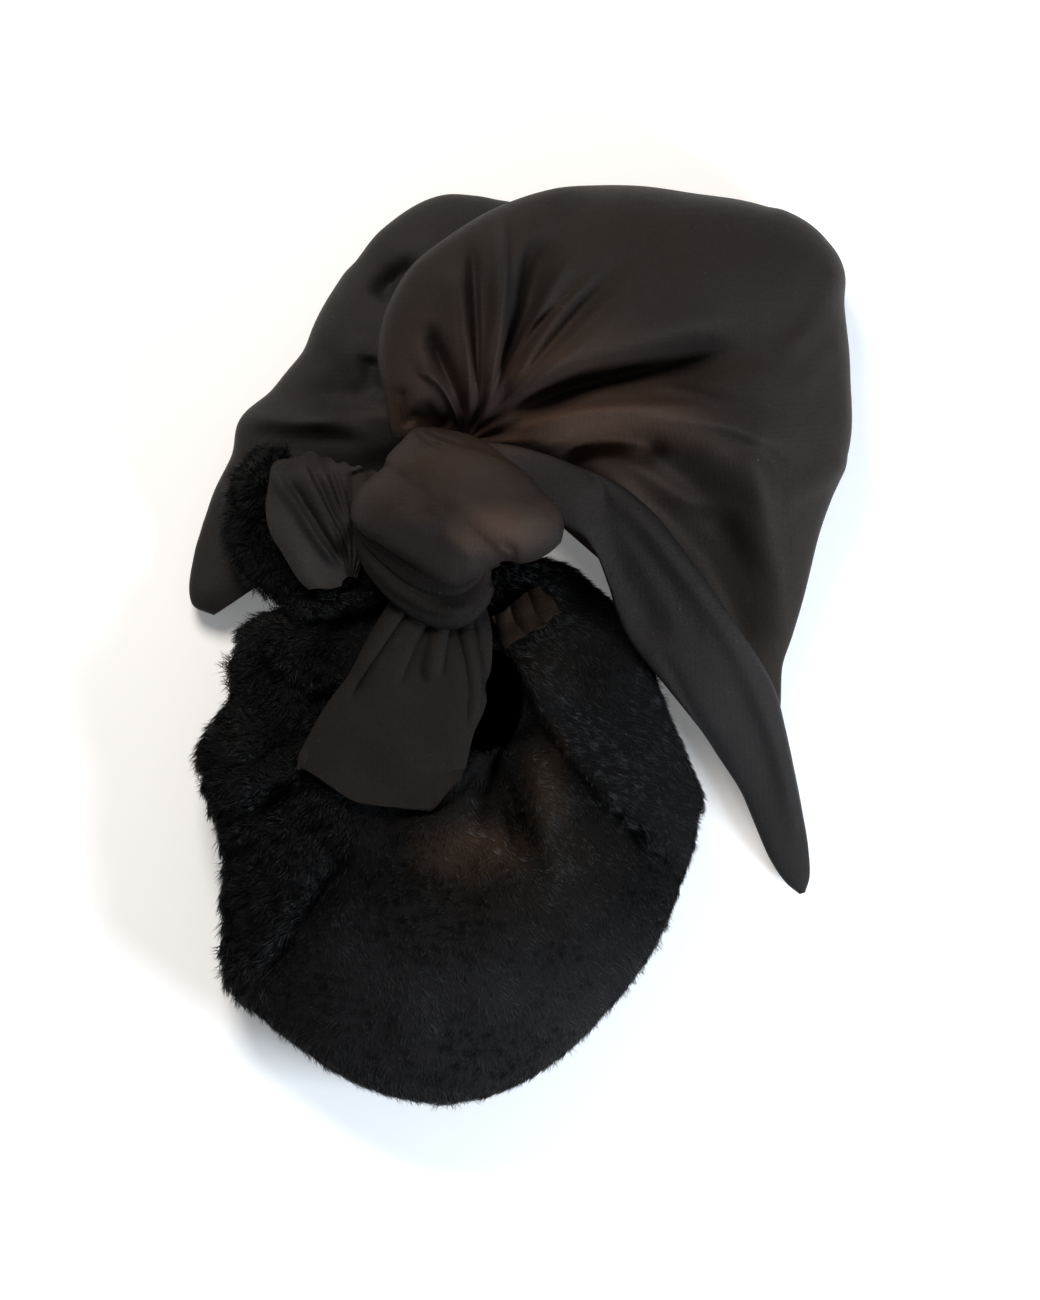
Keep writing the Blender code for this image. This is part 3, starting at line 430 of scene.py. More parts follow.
def fold_height(folds, bearing, share, rise=FOLD_RISE):
    """How far folds that run out from the middle lift a surface."""
    lift = np.zeros(share.shape)
    for fold in folds:
        middle = through((0.1, 0.4, 0.7, 1), fold[:4], share)
        width = fold.near + (fold.far - fold.near) * np.minimum(1, share)
        across = np.radians(bearing - middle) * share / width
        fade = ramp(share, fold.start, fold.start + rise)
        fade = fade * ramp(share, fold.end, fold.end - FOLD_FALL * (fold.end - fold.start))
        lift += fold.depth * np.exp(-across * across) * fade
    return lift


def fine_folds(count, first, last, seed):
    """Small pleats that run out of the gather between the large folds."""
    rng = np.random.default_rng(seed)
    made = []
    for i in range(count):
        at = first + (last - first) * (i + rng.uniform(0.1, 0.9)) / count
        drift = (at - 55) * 0.1 * rng.uniform(0.3, 1)
        start = rng.uniform(0.03, 0.07)
        made.append(Fold(
            at, at + drift, at + 1.5 * drift, at + 2 * drift, start, start + rng.uniform(0.22, 0.62),
            rng.choice((-1, 1)) * rng.uniform(0.005, 0.014), rng.uniform(0.006, 0.01), rng.uniform(0.014, 0.034),
        ))
    return made


SMALL_PLEATS = fine_folds(count=24, first=-26, last=92, seed=5)


def crown_lift(bearing, distance):
    share = distance / CROWN_REACH
    lift = CROWN_HEIGHT * fold_height(CROWN_FOLDS, bearing, share)
    lift += CROWN_HEIGHT * fold_height(SMALL_PLEATS, bearing, share, PLEAT_RISE)
    rise = ramp(distance, GATHER_MOUTH, 0.4 * GATHER_PLEAT_LENGTH)
    fade = np.exp(-((distance / GATHER_PLEAT_LENGTH) ** 2)) * ramp(bearing, 150, 100)
    lift += GATHER_PLEAT_DEPTH * rise * fade * np.cos(np.radians(bearing) * GATHER_PLEATS)
    x, y = polar(GATHER, bearing, distance)
    lift += CROWN_LINE_STRENGTH * line_lift(CROWN_LINES, x, y)
    return lift + waves(x, y, CROWN_WAVES) * ramp(distance, 0.02, 0.08)


def crown_roll(reach):
    return np.minimum(CROWN_ROLL, 0.3 * reach)


def crown_section(bearing):
    """Reach, top, edge and seat of the pouch at one bearing. The seat is the floor, or the lower layer."""
    reach = CROWN_REACH * column(CROWN_OUTLINE, 1, bearing)
    top = CROWN_HEIGHT * column(CROWN_SECTIONS, 1, bearing)
    inner_end = reach - crown_roll(reach) - CROWN_SEAT_HEM * CROWN_HEM
    seated = back_top(np.maximum(bearing, BACK_OUTLINE[0][0]), inner_end, dips=False) + LAY_CLEARANCE
    seat = seated * ramp(bearing, *CROWN_SEAT_TURN)
    return reach, top, seat + (top - seat) * column(CROWN_SECTIONS, 2, bearing), seat


def crown_top(bearing, distance, lift=None):
    reach, top, edge, seat = crown_section(bearing)
    share = np.minimum(1, distance / reach)
    height = edge + (top - edge) * shoulder(share, CLOTH_SHOULDER)
    height = height - (top - KNOT_MIDDLE_HEIGHT + GATHER_DROP) * np.exp(-((distance / GATHER_SPREAD) ** 2))
    lift = crown_lift(bearing, distance) if lift is None else lift
    return np.maximum(height + lift * (1 - share**6), seat + 2.5 * CLOTH_WALL)


def back_lift(bearing, distance):
    x, y = polar(GATHER, bearing, distance)
    lift = BACK_HEIGHT * fold_height(BACK_FOLDS, bearing, distance / BACK_REACH)
    return lift + line_lift(BACK_LINES, x, y) + waves(x, y, BACK_WAVES)


def back_section(bearing):
    reach = BACK_REACH * column(BACK_OUTLINE, 1, bearing)
    top = BACK_HEIGHT * column(BACK_SECTIONS, 1, bearing)
    return reach, top, top * column(BACK_SECTIONS, 2, bearing)


def back_top(bearing, distance, dips=True, lift=None):
    """Height of the lower layer's upper side, with or without the folds that dip."""
    reach, top, edge = back_section(bearing)
    share = np.minimum(1, distance / reach)
    if not dips:
        lift = BACK_HEIGHT * np.maximum(0, fold_height(BACK_FOLDS, bearing, distance / BACK_REACH))
    elif lift is None:
        lift = back_lift(bearing, distance)
    lift = lift * (1 - share**6)
    return np.maximum(edge + (top - edge) * shoulder(share, CLOTH_SHOULDER) + lift, 3 * CLOTH_WALL)


def hood_section(bearing):
    key = np.where(bearing > HOOD_OUTLINE[0][0], bearing, bearing + 360)
    reach = HOOD_REACH * column(HOOD_OUTLINE, 1, key)
    mouth = HOOD_MOUTH * column(MOUTH_OUTLINE, 1, bearing)
    top = HOOD_HEIGHT * column(HOOD_SECTIONS, 1, bearing)
    return reach, mouth, top, top * column(HOOD_SECTIONS, 2, bearing)


def hood_lift(bearing, distance):
    x, y = polar(HOOD_MIDDLE, bearing, distance)
    shaggy = ramp(-beside(SHAGGY_SIDE, x, y)[0], 0, 0.012)
    tufts = waves(x, y, LARGE_TUFTS) + waves(x, y, SMALL_TUFTS)
    return HOOD_LINE_STRENGTH * line_lift(HOOD_LINES, x, y) + tufts * (0.2 + 0.8 * shaggy)


def hood_top(bearing, distance, lift=None):
    reach, mouth, top, edge = hood_section(bearing)
    share = np.clip((distance - mouth) / (reach - mouth), 0, 1)
    lip = ramp(np.abs(bearing - LIP_BEARING), *LIP_TURN)
    sag = (MOUTH_SAG * (1 - share) ** 4 + LIP_SAG * lip * (1 - share) ** 3.5) * top
    lift = hood_lift(bearing, distance) if lift is None else lift
    return edge + (top - edge) * shoulder(share, FUR_SHOULDER) - sag + lift * (1 - share**6)


def covered(outline, bearing, distance, section, top):
    """Height of a satin form where it covers a place, and 0 elsewhere."""
    at = np.clip(bearing, outline[0][0], outline[-1][0])
    return np.where((at == bearing) & (distance < section(at)[0]), top(at, distance), 0)


def height_below(x, y):
    """Height of what the tails, the tabs and the roll lie on."""
    bearing, distance = around(x, y, GATHER)
    height = np.maximum(
        covered(CROWN_OUTLINE, bearing, distance, crown_section, crown_top),
        covered(BACK_OUTLINE, bearing % 360, distance, back_section, back_top),
    )
    bearing, distance = around(x, y, HOOD_MIDDLE)
    reach, mouth, _, _ = hood_section(bearing)
    return np.maximum(height, np.where((distance > mouth) & (distance < reach), hood_top(bearing, distance), 0))


def deselect():
    bpy.ops.object.select_all(action="DESELECT")


def points_of(obj):
    flat = np.empty(len(obj.data.vertices) * 3)
    obj.data.vertices.foreach_get("co", flat)
    return flat.reshape(-1, 3)


def put_points(obj, points):
    obj.data.vertices.foreach_set("co", (points + KNOT_PLACE).ravel())
    obj.data.update()


def new_sheet(name, across, along, place):
    """A grid bent to where place(u, v) puts its points, with u and v from 0 to 1. Meeting edges are joined."""
    deselect()
    bpy.ops.mesh.primitive_grid_add(x_subdivisions=across, y_subdivisions=along, size=2)
    obj = bpy.context.object
    obj.name = obj.data.name = name
    flat = (points_of(obj) + 1) / 2
    x, y, z = place(flat[:, 0], flat[:, 1])
    put_points(obj, np.stack([x, y, z], axis=1))
    mesh = bmesh.new()
    mesh.from_mesh(obj.data)
    bmesh.ops.remove_doubles(mesh, verts=mesh.verts, dist=1e-6)
    mesh.to_mesh(obj.data)
    mesh.free()
    return obj


def thicken(obj, wall):
    deselect()
    solidify = obj.modifiers.new("wall", "SOLIDIFY")
    solidify.thickness, solidify.offset = wall, -1
    bpy.context.view_layer.objects.active = obj
    bpy.ops.object.modifier_apply(modifier=solidify.name)
    return obj


def joined(parts):
    """One object of several closed bodies."""
    deselect()
    for part in parts:
        part.select_set(True)
    bpy.context.view_layer.objects.active = parts[0]
    bpy.ops.object.join()
    return parts[0]


def finish(obj, look, angle=70):
    obj.data.materials.clear()
    obj.data.materials.append(look)
    obj.data.shade_smooth()
    obj.data.set_sharp_from_angle(angle=math.radians(angle))
    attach(obj, "root")
    return obj


def pouch_section(v, reach, edge, seat, roll, hem, mouth, ends, top_at, lift_at):
    """Distance and height along a section: out over the top, round a rolled edge, and back as a hem."""
    top_end, roll_end = ends
    share = np.sin(np.minimum(1, v / top_end) * math.pi / 2)
    over = mouth + (reach - mouth) * share
    lift = lift_at(over)
    turn = np.clip((v - top_end) / (roll_end - top_end), 0, 1) * math.pi / 2
    edge_lift = 0.5 * lift_at(reach)
    distance = np.where(v <= top_end, over + 0.5 * lift * share**6, reach - roll * (1 - np.cos(turn)) + edge_lift)
    height = np.where(v <= top_end, top_at(over, lift), edge - (edge - seat) * np.sin(turn))
    under = v > roll_end
    distance = np.where(under, reach - roll - hem * (v - roll_end) / (1 - roll_end), distance)
    return distance, np.where(under, seat, height)


def gathered(name, across, along, outline, parts, top, lift):
    """Satin that runs out from the gather. parts gives its reach, edge, seat, roll and hem at a bearing."""
    first, last = outline[0][0], outline[-1][0]

    def place(u, v):
        bearing = last + (first - last) * u
        distance, height = pouch_section(
            v, *parts(bearing), GATHER_MOUTH, CLOTH_ENDS,
            lambda at, rise: top(bearing, at, lift=rise), lambda at: lift(bearing, at),
        )
        return *polar(GATHER, bearing, distance), height

    return thicken(new_sheet(name, across, along, place), CLOTH_WALL)


def pouch_parts(bearing):
    reach, _, edge, seat = crown_section(bearing)
    hem = CROWN_HEM * (1 - (1 - CROWN_SEAT_HEM) * ramp(bearing, *CROWN_SEAT_TURN))
    return reach, edge, seat, crown_roll(reach), hem


def layer_parts(bearing):
    reach, _, edge = back_section(bearing)
    return reach, edge, 0, BACK_ROLL, BACK_HEM


def hood_skin():
    """The hood's fur backing, which lies inside the hair by its inset."""

    def place(u, v):
        bearing = through((0, 0.36, 0.7, 1), (180, 95, -105, -180), u)
        reach, mouth, _, edge = hood_section(bearing)
        reach = reach - SKIN_INSET
        distance, height = pouch_section(
            v, reach, edge - SKIN_INSET, 0, HOOD_ROLL, reach - HOOD_ROLL, mouth, FUR_ENDS,
            lambda at, lift: hood_top(bearing, at, lift) - SKIN_INSET, lambda at: hood_lift(bearing, at),
        )
        x, y = polar(HOOD_MIDDLE, bearing, distance)
        near_mouth = np.clip(1 - (distance - mouth) / (reach - mouth), 0, 1) ** 3 * (v < FUR_ENDS[0])
        return x, y + MOUTH_SHIFT * near_mouth, height

    return new_sheet("fur_hood_skin", 180, 76, place)


def knot_wad():
    """The wound knot: one wad of cloth whose layers end in rolled edges."""
    deselect()
    bpy.ops.mesh.primitive_uv_sphere_add(segments=210, ring_count=105, radius=1)
    knot = bpy.context.object
    knot.name = knot.data.name = "satin_knot"
    x, y, z = points_of(knot).T
    bearing, from_axis = around(x, y, (0, 0))
    key = np.where(bearing > KNOT_OUTLINE[0][0], bearing, bearing + 360)
    reach = KNOT_REACH * column(KNOT_OUTLINE, 1, key) * from_axis**0.85
    x, y = polar((0, 0), bearing, reach)
    height = np.sign(z) * np.abs(z) ** 0.9 * KNOT_DEPTH / 2
    lift = line_lift(KNOT_LINES, x, y) + waves(x, y, KNOT_WAVES)
    height += lift * ramp(z, -0.1, 0.35)
    put_points(knot, np.stack([x, y, KNOT_MIDDLE_HEIGHT + height], axis=1))
    return knot


def strip(name, stations, rings, sides, squareness, lies=True, lines=()):
    """A closed strip of cloth along stations, with folds on its upper side."""
    stations = np.array(stations, float) / 1000
    keys = np.linspace(0, 1, len(stations))
    step = 0.001

    def centre(at):
        return np.stack([through(keys, stations[:, i], at) for i in range(3)], axis=1)

    def place(u, v):
        at = np.clip(v, step, 1 - step)
        ahead = unit(centre(at + step) - centre(at - step))
        side = unit(np.cross(ahead, (0, 0, 1)))
        up = np.cross(side, ahead)
        turn = u * 2 * math.pi
        half_depth = through(keys, stations[:, 4], v) / 2
        across = np.cos(turn) * through(keys, stations[:, 3], v) / 2
        middle = centre(v) + side * across[:, None]
        lens = np.sign(np.sin(turn)) * np.abs(np.sin(turn)) ** squareness
        if lies:
            below = height_below(middle[:, 0], middle[:, 1])
            middle[:, 2] = np.maximum(middle[:, 2], below + LAY_CLEARANCE + half_depth)
        found = middle + up * (lens * half_depth)[:, None]
        x, y, z = found.T
        return x, y, z + line_lift(lines, x, y) * ramp(np.sin(turn), 0, 0.5)

    obj = new_sheet(name, sides, rings, place)
    mesh = bmesh.new()
    mesh.from_mesh(obj.data)
    bmesh.ops.holes_fill(mesh, edges=[e for e in mesh.edges if e.is_boundary], sides=0)
    bmesh.ops.recalc_face_normals(mesh, faces=mesh.faces)
    mesh.to_mesh(obj.data)
    mesh.free()
    return obj


def spread_tail():
    """The short tail, a folded end that spreads out from under the knot over the hood's mouth."""
    keys = np.linspace(0, 1, len(SHORT_TAIL_LEFT))
    left, right = np.array(SHORT_TAIL_LEFT) / 1000, np.array(SHORT_TAIL_RIGHT) / 1000

    def place(u, v):
        x = through(keys, left[:, 0], v) * (1 - u) + through(keys, right[:, 0], v) * u
        y = through(keys, left[:, 1], v) * (1 - u) + through(keys, right[:, 1], v) * u
        y = y - SHORT_TAIL_BULGE / 1000 * ramp(v, 0.45, 1) * ramp(u, 0, 0.42) * ramp(u, 1, 0.8)
        z = through(keys, np.array(SHORT_TAIL_HEIGHTS) / 1000, v) - 0.004 * (2 * u - 1) ** 4
        z = np.maximum(z, height_below(x, y) + LAY_CLEARANCE)
        return x, y, z + line_lift(SHORT_LINES, x, y) + waves(x, y, TAIL_WAVES)

    return thicken(new_sheet("satin_short_tail", 104, 100, place), 2 * CLOTH_WALL)


def inside_edge(edge_stations):
    """Stations whose strip ends at the edge that is given, and lies on its side towards the layers' middle."""
    inner_x, inner_y = LAYERS_MIDDLE
    moved = []
    for x, y, height, width, thickness in edge_stations:
        share = 0.5 * width / math.hypot(inner_x - x, inner_y - y)
        moved.append((x + (inner_x - x) * share, y + (inner_y - y) * share, height, width, thickness))
    return moved


def side_tab():
    """The pleated tab: a fan gathered at the knot's lower left corner."""
    first, last = TAB_OUTLINE[0][0], TAB_OUTLINE[-1][0]
    base = TAB_HEIGHT * KNOT_MIDDLE_HEIGHT

    def place(u, v):
        bearing = last + (first - last) * u
        reach = TAB_LENGTH * column(TAB_OUTLINE, 1, bearing)
        uneven_end = 1 + 0.014 * np.sin(0.9 * bearing) * ramp(bearing, 115, 100)
        distance = TAB_GATHER + (reach * uneven_end - TAB_GATHER) * v
        small = np.cos(2 * math.pi * TAB_PLEATS * u**1.3 + 3 * v) * ramp(bearing, 118, 100)
        height = TAB_PLEAT_DEPTH * small + TAB_ARCH * np.sin(math.pi * v * 0.8)
        x, y = polar(TAB_CORNER, bearing, distance)
        z = base + height + line_lift(TAB_LINES, x, y) + waves(x, y, TAB_WAVES)
        return x, y, np.maximum(z, height_below(x, y) + LAY_CLEARANCE + CLOTH_WALL)

    return thicken(new_sheet("satin_side_tab", 140, 52, place), CLOTH_WALL)


def inner_tab():
    """The gathered satin beside the knot, which lies on the hood's fur."""
    left, top, right, bottom = (np.array(corner) / 1000 for corner in INNER_TAB_CORNERS)

    def place(u, v):
        u, v = u[:, None], v[:, None]
        flat = (left * (1 - u) + top * u) * v + (bottom * (1 - u) + right * u) * (1 - v)
        x, y = flat.T
        x, y = x + waves(x, y, INNER_TAB_WAVES[0]), y + waves(x, y, INNER_TAB_WAVES[1])
        turn = u[:, 0] * INNER_TAB_PLEATS * math.pi + 0.5 * np.sin(4 * v[:, 0])
        pleats = INNER_TAB_PLEAT_DEPTH * np.abs(np.sin(turn)) ** 0.7
        bearing, distance = around(x, y, HOOD_MIDDLE)
        return x, y, hood_top(bearing, distance) - 0.4 * SKIN_INSET + pleats

    return thicken(new_sheet("satin_inner_tab", 70, 40, place), CLOTH_WALL)


def scatter(obj, count, share_at):
    """Random places on a mesh, spread by area and by share_at(x, y, z), with the normals there."""
    obj.data.calc_loop_triangles()
    corners = np.empty(len(obj.data.loop_triangles) * 3, np.int32)
    obj.data.loop_triangles.foreach_get("vertices", corners)
    points = points_of(obj) - KNOT_PLACE
    a, b, c = (points[corners[i::3]] for i in range(3))
    normal = np.cross(b - a, c - a)
    area = np.linalg.norm(normal, axis=1)
    normal /= np.maximum(area, 1e-12)[:, None]
    area = area * share_at(*((a + b + c) / 3).T)
    pick = rng.choice(len(area), count, p=area / area.sum())
    r, s = np.sqrt(rng.random(count))[:, None], rng.random(count)[:, None]
    return a[pick] * (1 - r) + b[pick] * r * (1 - s) + c[pick] * r * s, normal[pick]


def hairs(name, kind, obj, share_at, nap_at):
    """Hair on a mesh: one thin cone is modelled, and a bent copy of it stands on each root and lies along the nap."""
    roots, normals = scatter(obj, kind.count, share_at)
    nap = nap_at(roots)
    deselect()
    bpy.ops.mesh.primitive_cone_add(
        vertices=3, radius1=0.5, radius2=0, depth=1, location=(0, 0, 0.5), end_fill_type="NGON"
    )
    blade = bpy.context.object
    bpy.ops.object.transform_apply(location=True)
    mesh = bmesh.new()
    mesh.from_mesh(blade.data)
    for i in range(1, kind.segments):
        parts = mesh.verts[:] + mesh.edges[:] + mesh.faces[:]
        bmesh.ops.bisect_plane(mesh, geom=parts, plane_co=(0, 0, i / kind.segments), plane_no=(0, 0, 1))
    shape = np.array([v.co for v in mesh.verts])
    faces = [[v.index for v in f.verts] for f in mesh.faces]
    mesh.free()
    bpy.data.objects.remove(blade)
    t = shape[:, 2]
    shape[:, :2] *= ((t < 0.99) / np.maximum(1 - t, 0.35))[:, None]
    shape[:, :2] *= (1 - 0.65 * t**2)[:, None]

    # Middles of the locks
    count = kind.count
    chosen, taken = [], set()
    for i in np.flatnonzero(rng.random(count) < 0.5):
        cell = tuple(np.floor(roots[i] / kind.spacing).astype(int))
        if cell not in taken:
            taken.add(cell)
            chosen.append(i)
    tree = kdtree.KDTree(len(chosen))
    for index, i in enumerate(chosen):
        tree.insert(roots[i], index)
    tree.balance()
    lock = np.array([tree.find(root)[1] for root in roots])
    middles = roots[chosen][lock]
    lock_random = rng.random((len(chosen), 3))[lock]

    along = unit(nap - normals * (nap * normals).sum(axis=1)[:, None])
    turn = (lock_random[:, 0] - 0.5) * 1.1 * (1 + kind.curl) + rng.normal(0, 0.16, count)
    side = np.cross(normals, along)
    along = along * np.cos(turn)[:, None] + side * np.sin(turn)[:, None]
    side = np.cross(normals, along)
    angle = kind.rise * (0.7 + 0.6 * lock_random[:, 1]) + rng.normal(0, 0.1, count)
    angle = np.clip(angle, 0.05, 1.4)
    reach = kind.length * rng.uniform(0.7, 1.15, count) * (0.8 + 0.4 * lock_random[:, 2])
    begin = along * np.cos(angle * 1.5)[:, None] + normals * np.sin(angle * 1.5)[:, None]
    end = along * np.cos(angle * 0.4)[:, None] + normals * np.sin(angle * 0.4)[:, None]
    bend = (end - begin) * 0.5
    bend += (middles - roots) * (kind.pull / reach)[:, None]
    bend += side * rng.normal(0, 0.1 + 0.5 * kind.curl, count)[:, None]
    line = (roots - normals * ROOT_DEPTH)[:, None] + reach[:, None, None] * (
        begin[:, None] * t[:, None] + bend[:, None] * (t * t)[:, None]
    )
    thick = kind.width * rng.uniform(0.75, 1.25, count)
    points = line + thick[:, None, None] * (
        side[:, None] * shape[:, 0, None] + normals[:, None] * shape[:, 1, None]
    )
    points += KNOT_PLACE
    points[..., 2] = np.maximum(points[..., 2], LOWEST_HAIR)

    corner = np.array([i for face in faces for i in face])
    sizes = np.array([len(face) for face in faces])
    total = len(shape)
    data = bpy.data.meshes.new(name)
    data.vertices.add(count * total)
    data.vertices.foreach_set("co", points.reshape(-1))
    loops = (corner[None] + np.arange(count)[:, None] * total).reshape(-1)
    data.loops.add(len(loops))
    data.loops.foreach_set("vertex_index", loops.astype(np.int32))
    starts = np.concatenate([[0], np.cumsum(np.tile(sizes, count))[:-1]])
    data.polygons.add(len(starts))
    data.polygons.foreach_set("loop_start", starts.astype(np.int32))
    data.update(calc_edges=True)
    # Each hair's shade and the share along it, for its material
    shade = 0.65 * lock_random[:, 1] + 0.35 * rng.random(count)
    uv = np.stack([np.repeat(shade, len(corner)), np.tile(t[corner], count)], axis=1)
    data.uv_layers.new(name="UVMap").data.foreach_set("uv", uv.reshape(-1))
    fur = bpy.data.objects.new(name, data)
    bpy.context.scene.collection.objects.link(fur)
    return finish(fur, FUR, angle=180)


# Materials
class Look:
    """A material, with short ways to add nodes to it."""

    def __init__(self, name):
        self.material = bpy.data.materials.new(name)
        self.material.use_nodes = True
        self.tree = self.material.node_tree
        self.shader = self.tree.nodes["Principled BSDF"]

    def feed(self, node, inputs):
        """Sets a node's inputs, each to a value or to the output of another node."""
        for key, value in inputs.items():
            if isinstance(value, bpy.types.NodeSocket):
                self.tree.links.new(value, node.inputs[key])
            else:
                node.inputs[key].default_value = value

    def node(self, kind, output, inputs, **settings):
        made = self.tree.nodes.new("ShaderNode" + kind)
        for key, value in settings.items():
            setattr(made, key, value)
        self.feed(made, inputs)
        return made.outputs[output]

    def mixed(self, factor, first, second):
        """Mixes two colours, each a colour or the output of another node."""
        first, second = ((*c, 1) if isinstance(c, tuple) else c for c in (first, second))
        return self.node("Mix", 2, {0: factor, 6: first, 7: second}, data_type="RGBA")

    def between(self, value, low, high, first=0, second=1):
        return self.node("MapRange", "Result", {
            "Value": value, "From Min": low, "From Max": high, "To Min": first, "To Max": second,
        })

    def noise(self, where, scale, detail=2):
        return self.node("TexNoise", "Fac", {"Vector": where, "Scale": scale, "Detail": detail})

    def patch(self, where, middle, size, colour, amount, shade, full=0.7):
        """The colour with a round patch of a shade over it. The middle is in the frame."""
        patch = self.round_patch(where, middle, size)
        return self.mixed(self.between(patch, 0, full, 0, amount), colour, shade)

    def round_patch(self, where, middle, size):
        """1 in the middle of a round patch and 0 at its rim."""
        inside = self.node("Mapping", 0, {"Vector": where, "Location": middle, "Scale": size}, vector_type="TEXTURE")
        return self.node("TexGradient", "Fac", {"Vector": inside}, gradient_type="SPHERICAL")

    def bumps(self, *rows):
        """Bumps on top of each other, each with its height, strength and distance."""
        normal = {}
        for height, strength, distance in rows:
            inputs = {"Height": height, "Strength": strength, "Distance": distance, **normal}
            normal = {"Normal": self.node("Bump", "Normal", inputs)}
        self.feed(self.shader, normal)


def times(share, colour):
    return tuple(share * part for part in colour)


# The middle and the reach of the warm highlight painted on the cloth round the gather, and of the brightest highlights
# painted on the folds
GATHER_HIGHLIGHT = ((GATHER[0] + KNOT_PLACE[0] + 0.024, GATHER[1] + KNOT_PLACE[1] - 0.006, 0.08), (0.11, 0.075, 0.11))
FOLD_HIGHLIGHTS = (((0.032, 0.101, 0.08), (0.062, 0.017, 0.08)), ((-0.01, 0.054, 0.11), (0.027, 0.015, 0.05)))
# The same of the parts of the long tail that lie in shade
TAIL_SHADES = (((0.026, 0.068, 0.08), (0.06, 0.026, 0.08)), ((0.064, 0.018, 0.07), (0.046, 0.074, 0.06)))
# Shares that turn the painted warm highlight plum in places
PLUM_HIGHLIGHT_TINT = (0.68, 0.66, 0.95)
LINT = (0.06, 0.057, 0.054)
SATIN_TINT = (1, 0.78, 0.62, 1)
THREADS = 560


def satin(name, dark, light, warm_highlight, highlight_amount=0.8, shaded=()):
    """Satin between a dark and a light colour, with a warm highlight painted near the gather and on the folds, and
    painted shade on the shaded patches.
    """
    look = Look(name)
    where = look.node("TexCoord", "Object", {})
    colour = look.mixed(look.noise(where, 16), dark, light)
    # Painted warm highlight round the gather, broken up by noise and plum in places
    highlight_share = look.node("Math", 0, {
        0: look.between(look.round_patch(where, *GATHER_HIGHLIGHT), 0, 0.7, 0, highlight_amount),
        1: look.between(look.noise(where, 34, 3), 0.35, 0.65, 0.4, 1),
    }, operation="MULTIPLY")
    plum = tuple(share * part for share, part in zip(PLUM_HIGHLIGHT_TINT, warm_highlight))
    highlight_or_plum = look.mixed(look.between(look.noise(where, 21), 0.42, 0.62), warm_highlight, plum)
    colour = look.mixed(highlight_share, colour, highlight_or_plum)
    # Brighter painted highlights along the folds and on the knot
    for middle, size in FOLD_HIGHLIGHTS:
        colour = look.patch(where, middle, size, colour, highlight_amount, times(1.7, warm_highlight), 0.8)
    for middle, size in shaded:
        colour = look.patch(where, middle, size, colour, 0.75, times(0.4, dark), 0.6)
    grain = look.noise(where, 1600, 1)
    colour = look.mixed(look.between(grain, 0.3, 0.7, 0, 0.35), colour, times(1.6, light))
    lint = look.noise(where, 1100, 0)
    colour = look.mixed(look.between(lint, 0.86, 0.9), colour, LINT)
    look.feed(look.shader, {
        "Base Color": colour, "Roughness": 0.52, "Specular IOR Level": 0.085, "Specular Tint": SATIN_TINT,
    })
    inputs = {"Vector": where, "Scale": THREADS, "Distortion": 1.2}
    threads = [look.node("TexWave", "Fac", inputs, bands_direction=way) for way in "XY"]
    weave = look.node("Math", 0, dict(enumerate(threads)), operation="ADD")
    look.bumps((weave, 0.55, 0.00012), (grain, 0.8, 0.0003), (look.noise(where, 95, 4), 0.45, 0.001))
    return look.material


# Painted highlights and sheen on the fur: each place's middle, its reach, how much it shows, and its colour
FUR_SHEEN_PATCHES = (
    ((-0.012, -0.186, 0.04), (0.155, 0.085, 0.12), 1, (0.03, 0.029, 0.031)),
    ((-0.005, -0.095, 0.07), (0.065, 0.05, 0.06), 0.6, (0.022, 0.0165, 0.012)),
    ((-0.022, -0.092, 0.07), (0.034, 0.018, 0.06), 0.8, (0.06, 0.036, 0.023)),
    ((0.012, -0.06, 0.07), (0.015, 0.032, 0.06), 0.6, (0.05, 0.032, 0.021)),
    ((0.012, 0.002, 0.07), (0.034, 0.03, 0.06), 0.5, (0.022, 0.0165, 0.011)),
)
# Nearly black, painted as shade at the hairs' roots
ROOT_COLOUR = (0.001, 0.001, 0.001)
SKIN_SHARE = 0.35


def fur_look(name, dark, light, tip=None):
    """Fur between a dark and a light colour. With no colour for the tips, it is the skin between the hairs."""
    look = Look(name)
    where = look.node("TexCoord", "Object", {})
    colour = look.mixed(look.noise(where, 22, 3), dark, light)
    # Painted highlights and sheen, dimmer on the skin between the hairs
    for middle, size, amount, shade in FUR_SHEEN_PATCHES:
        colour = look.patch(where, middle, size, colour, amount, shade if tip else times(SKIN_SHARE, shade))
    if tip:
        hair = look.node("TexCoord", "UV", {})
        shade, along = (look.node("SeparateXYZ", key, {0: hair}) for key in "XY")
        colour = look.mixed(look.between(shade, 0, 1, 0, 0.5), colour, dark)
        # Lighter tips as painted sheen, and roots nearly black as painted shade among the hairs
        colour = look.mixed(look.between(along, 0.45, 1, 0, 0.3), colour, tip)
        colour = look.mixed(look.between(along, 0.3, 0, 0, 0.5), colour, ROOT_COLOUR)
        look.feed(look.shader, {"Roughness": 0.42, "Specular IOR Level": 0.17})
    else:
        look.feed(look.shader, {"Roughness": 0.9, "Specular IOR Level": 0.05})
        look.bumps((look.noise(where, 700, 3), 0.6, 0.001))
    look.feed(look.shader, {"Base Color": colour})
    return look.material


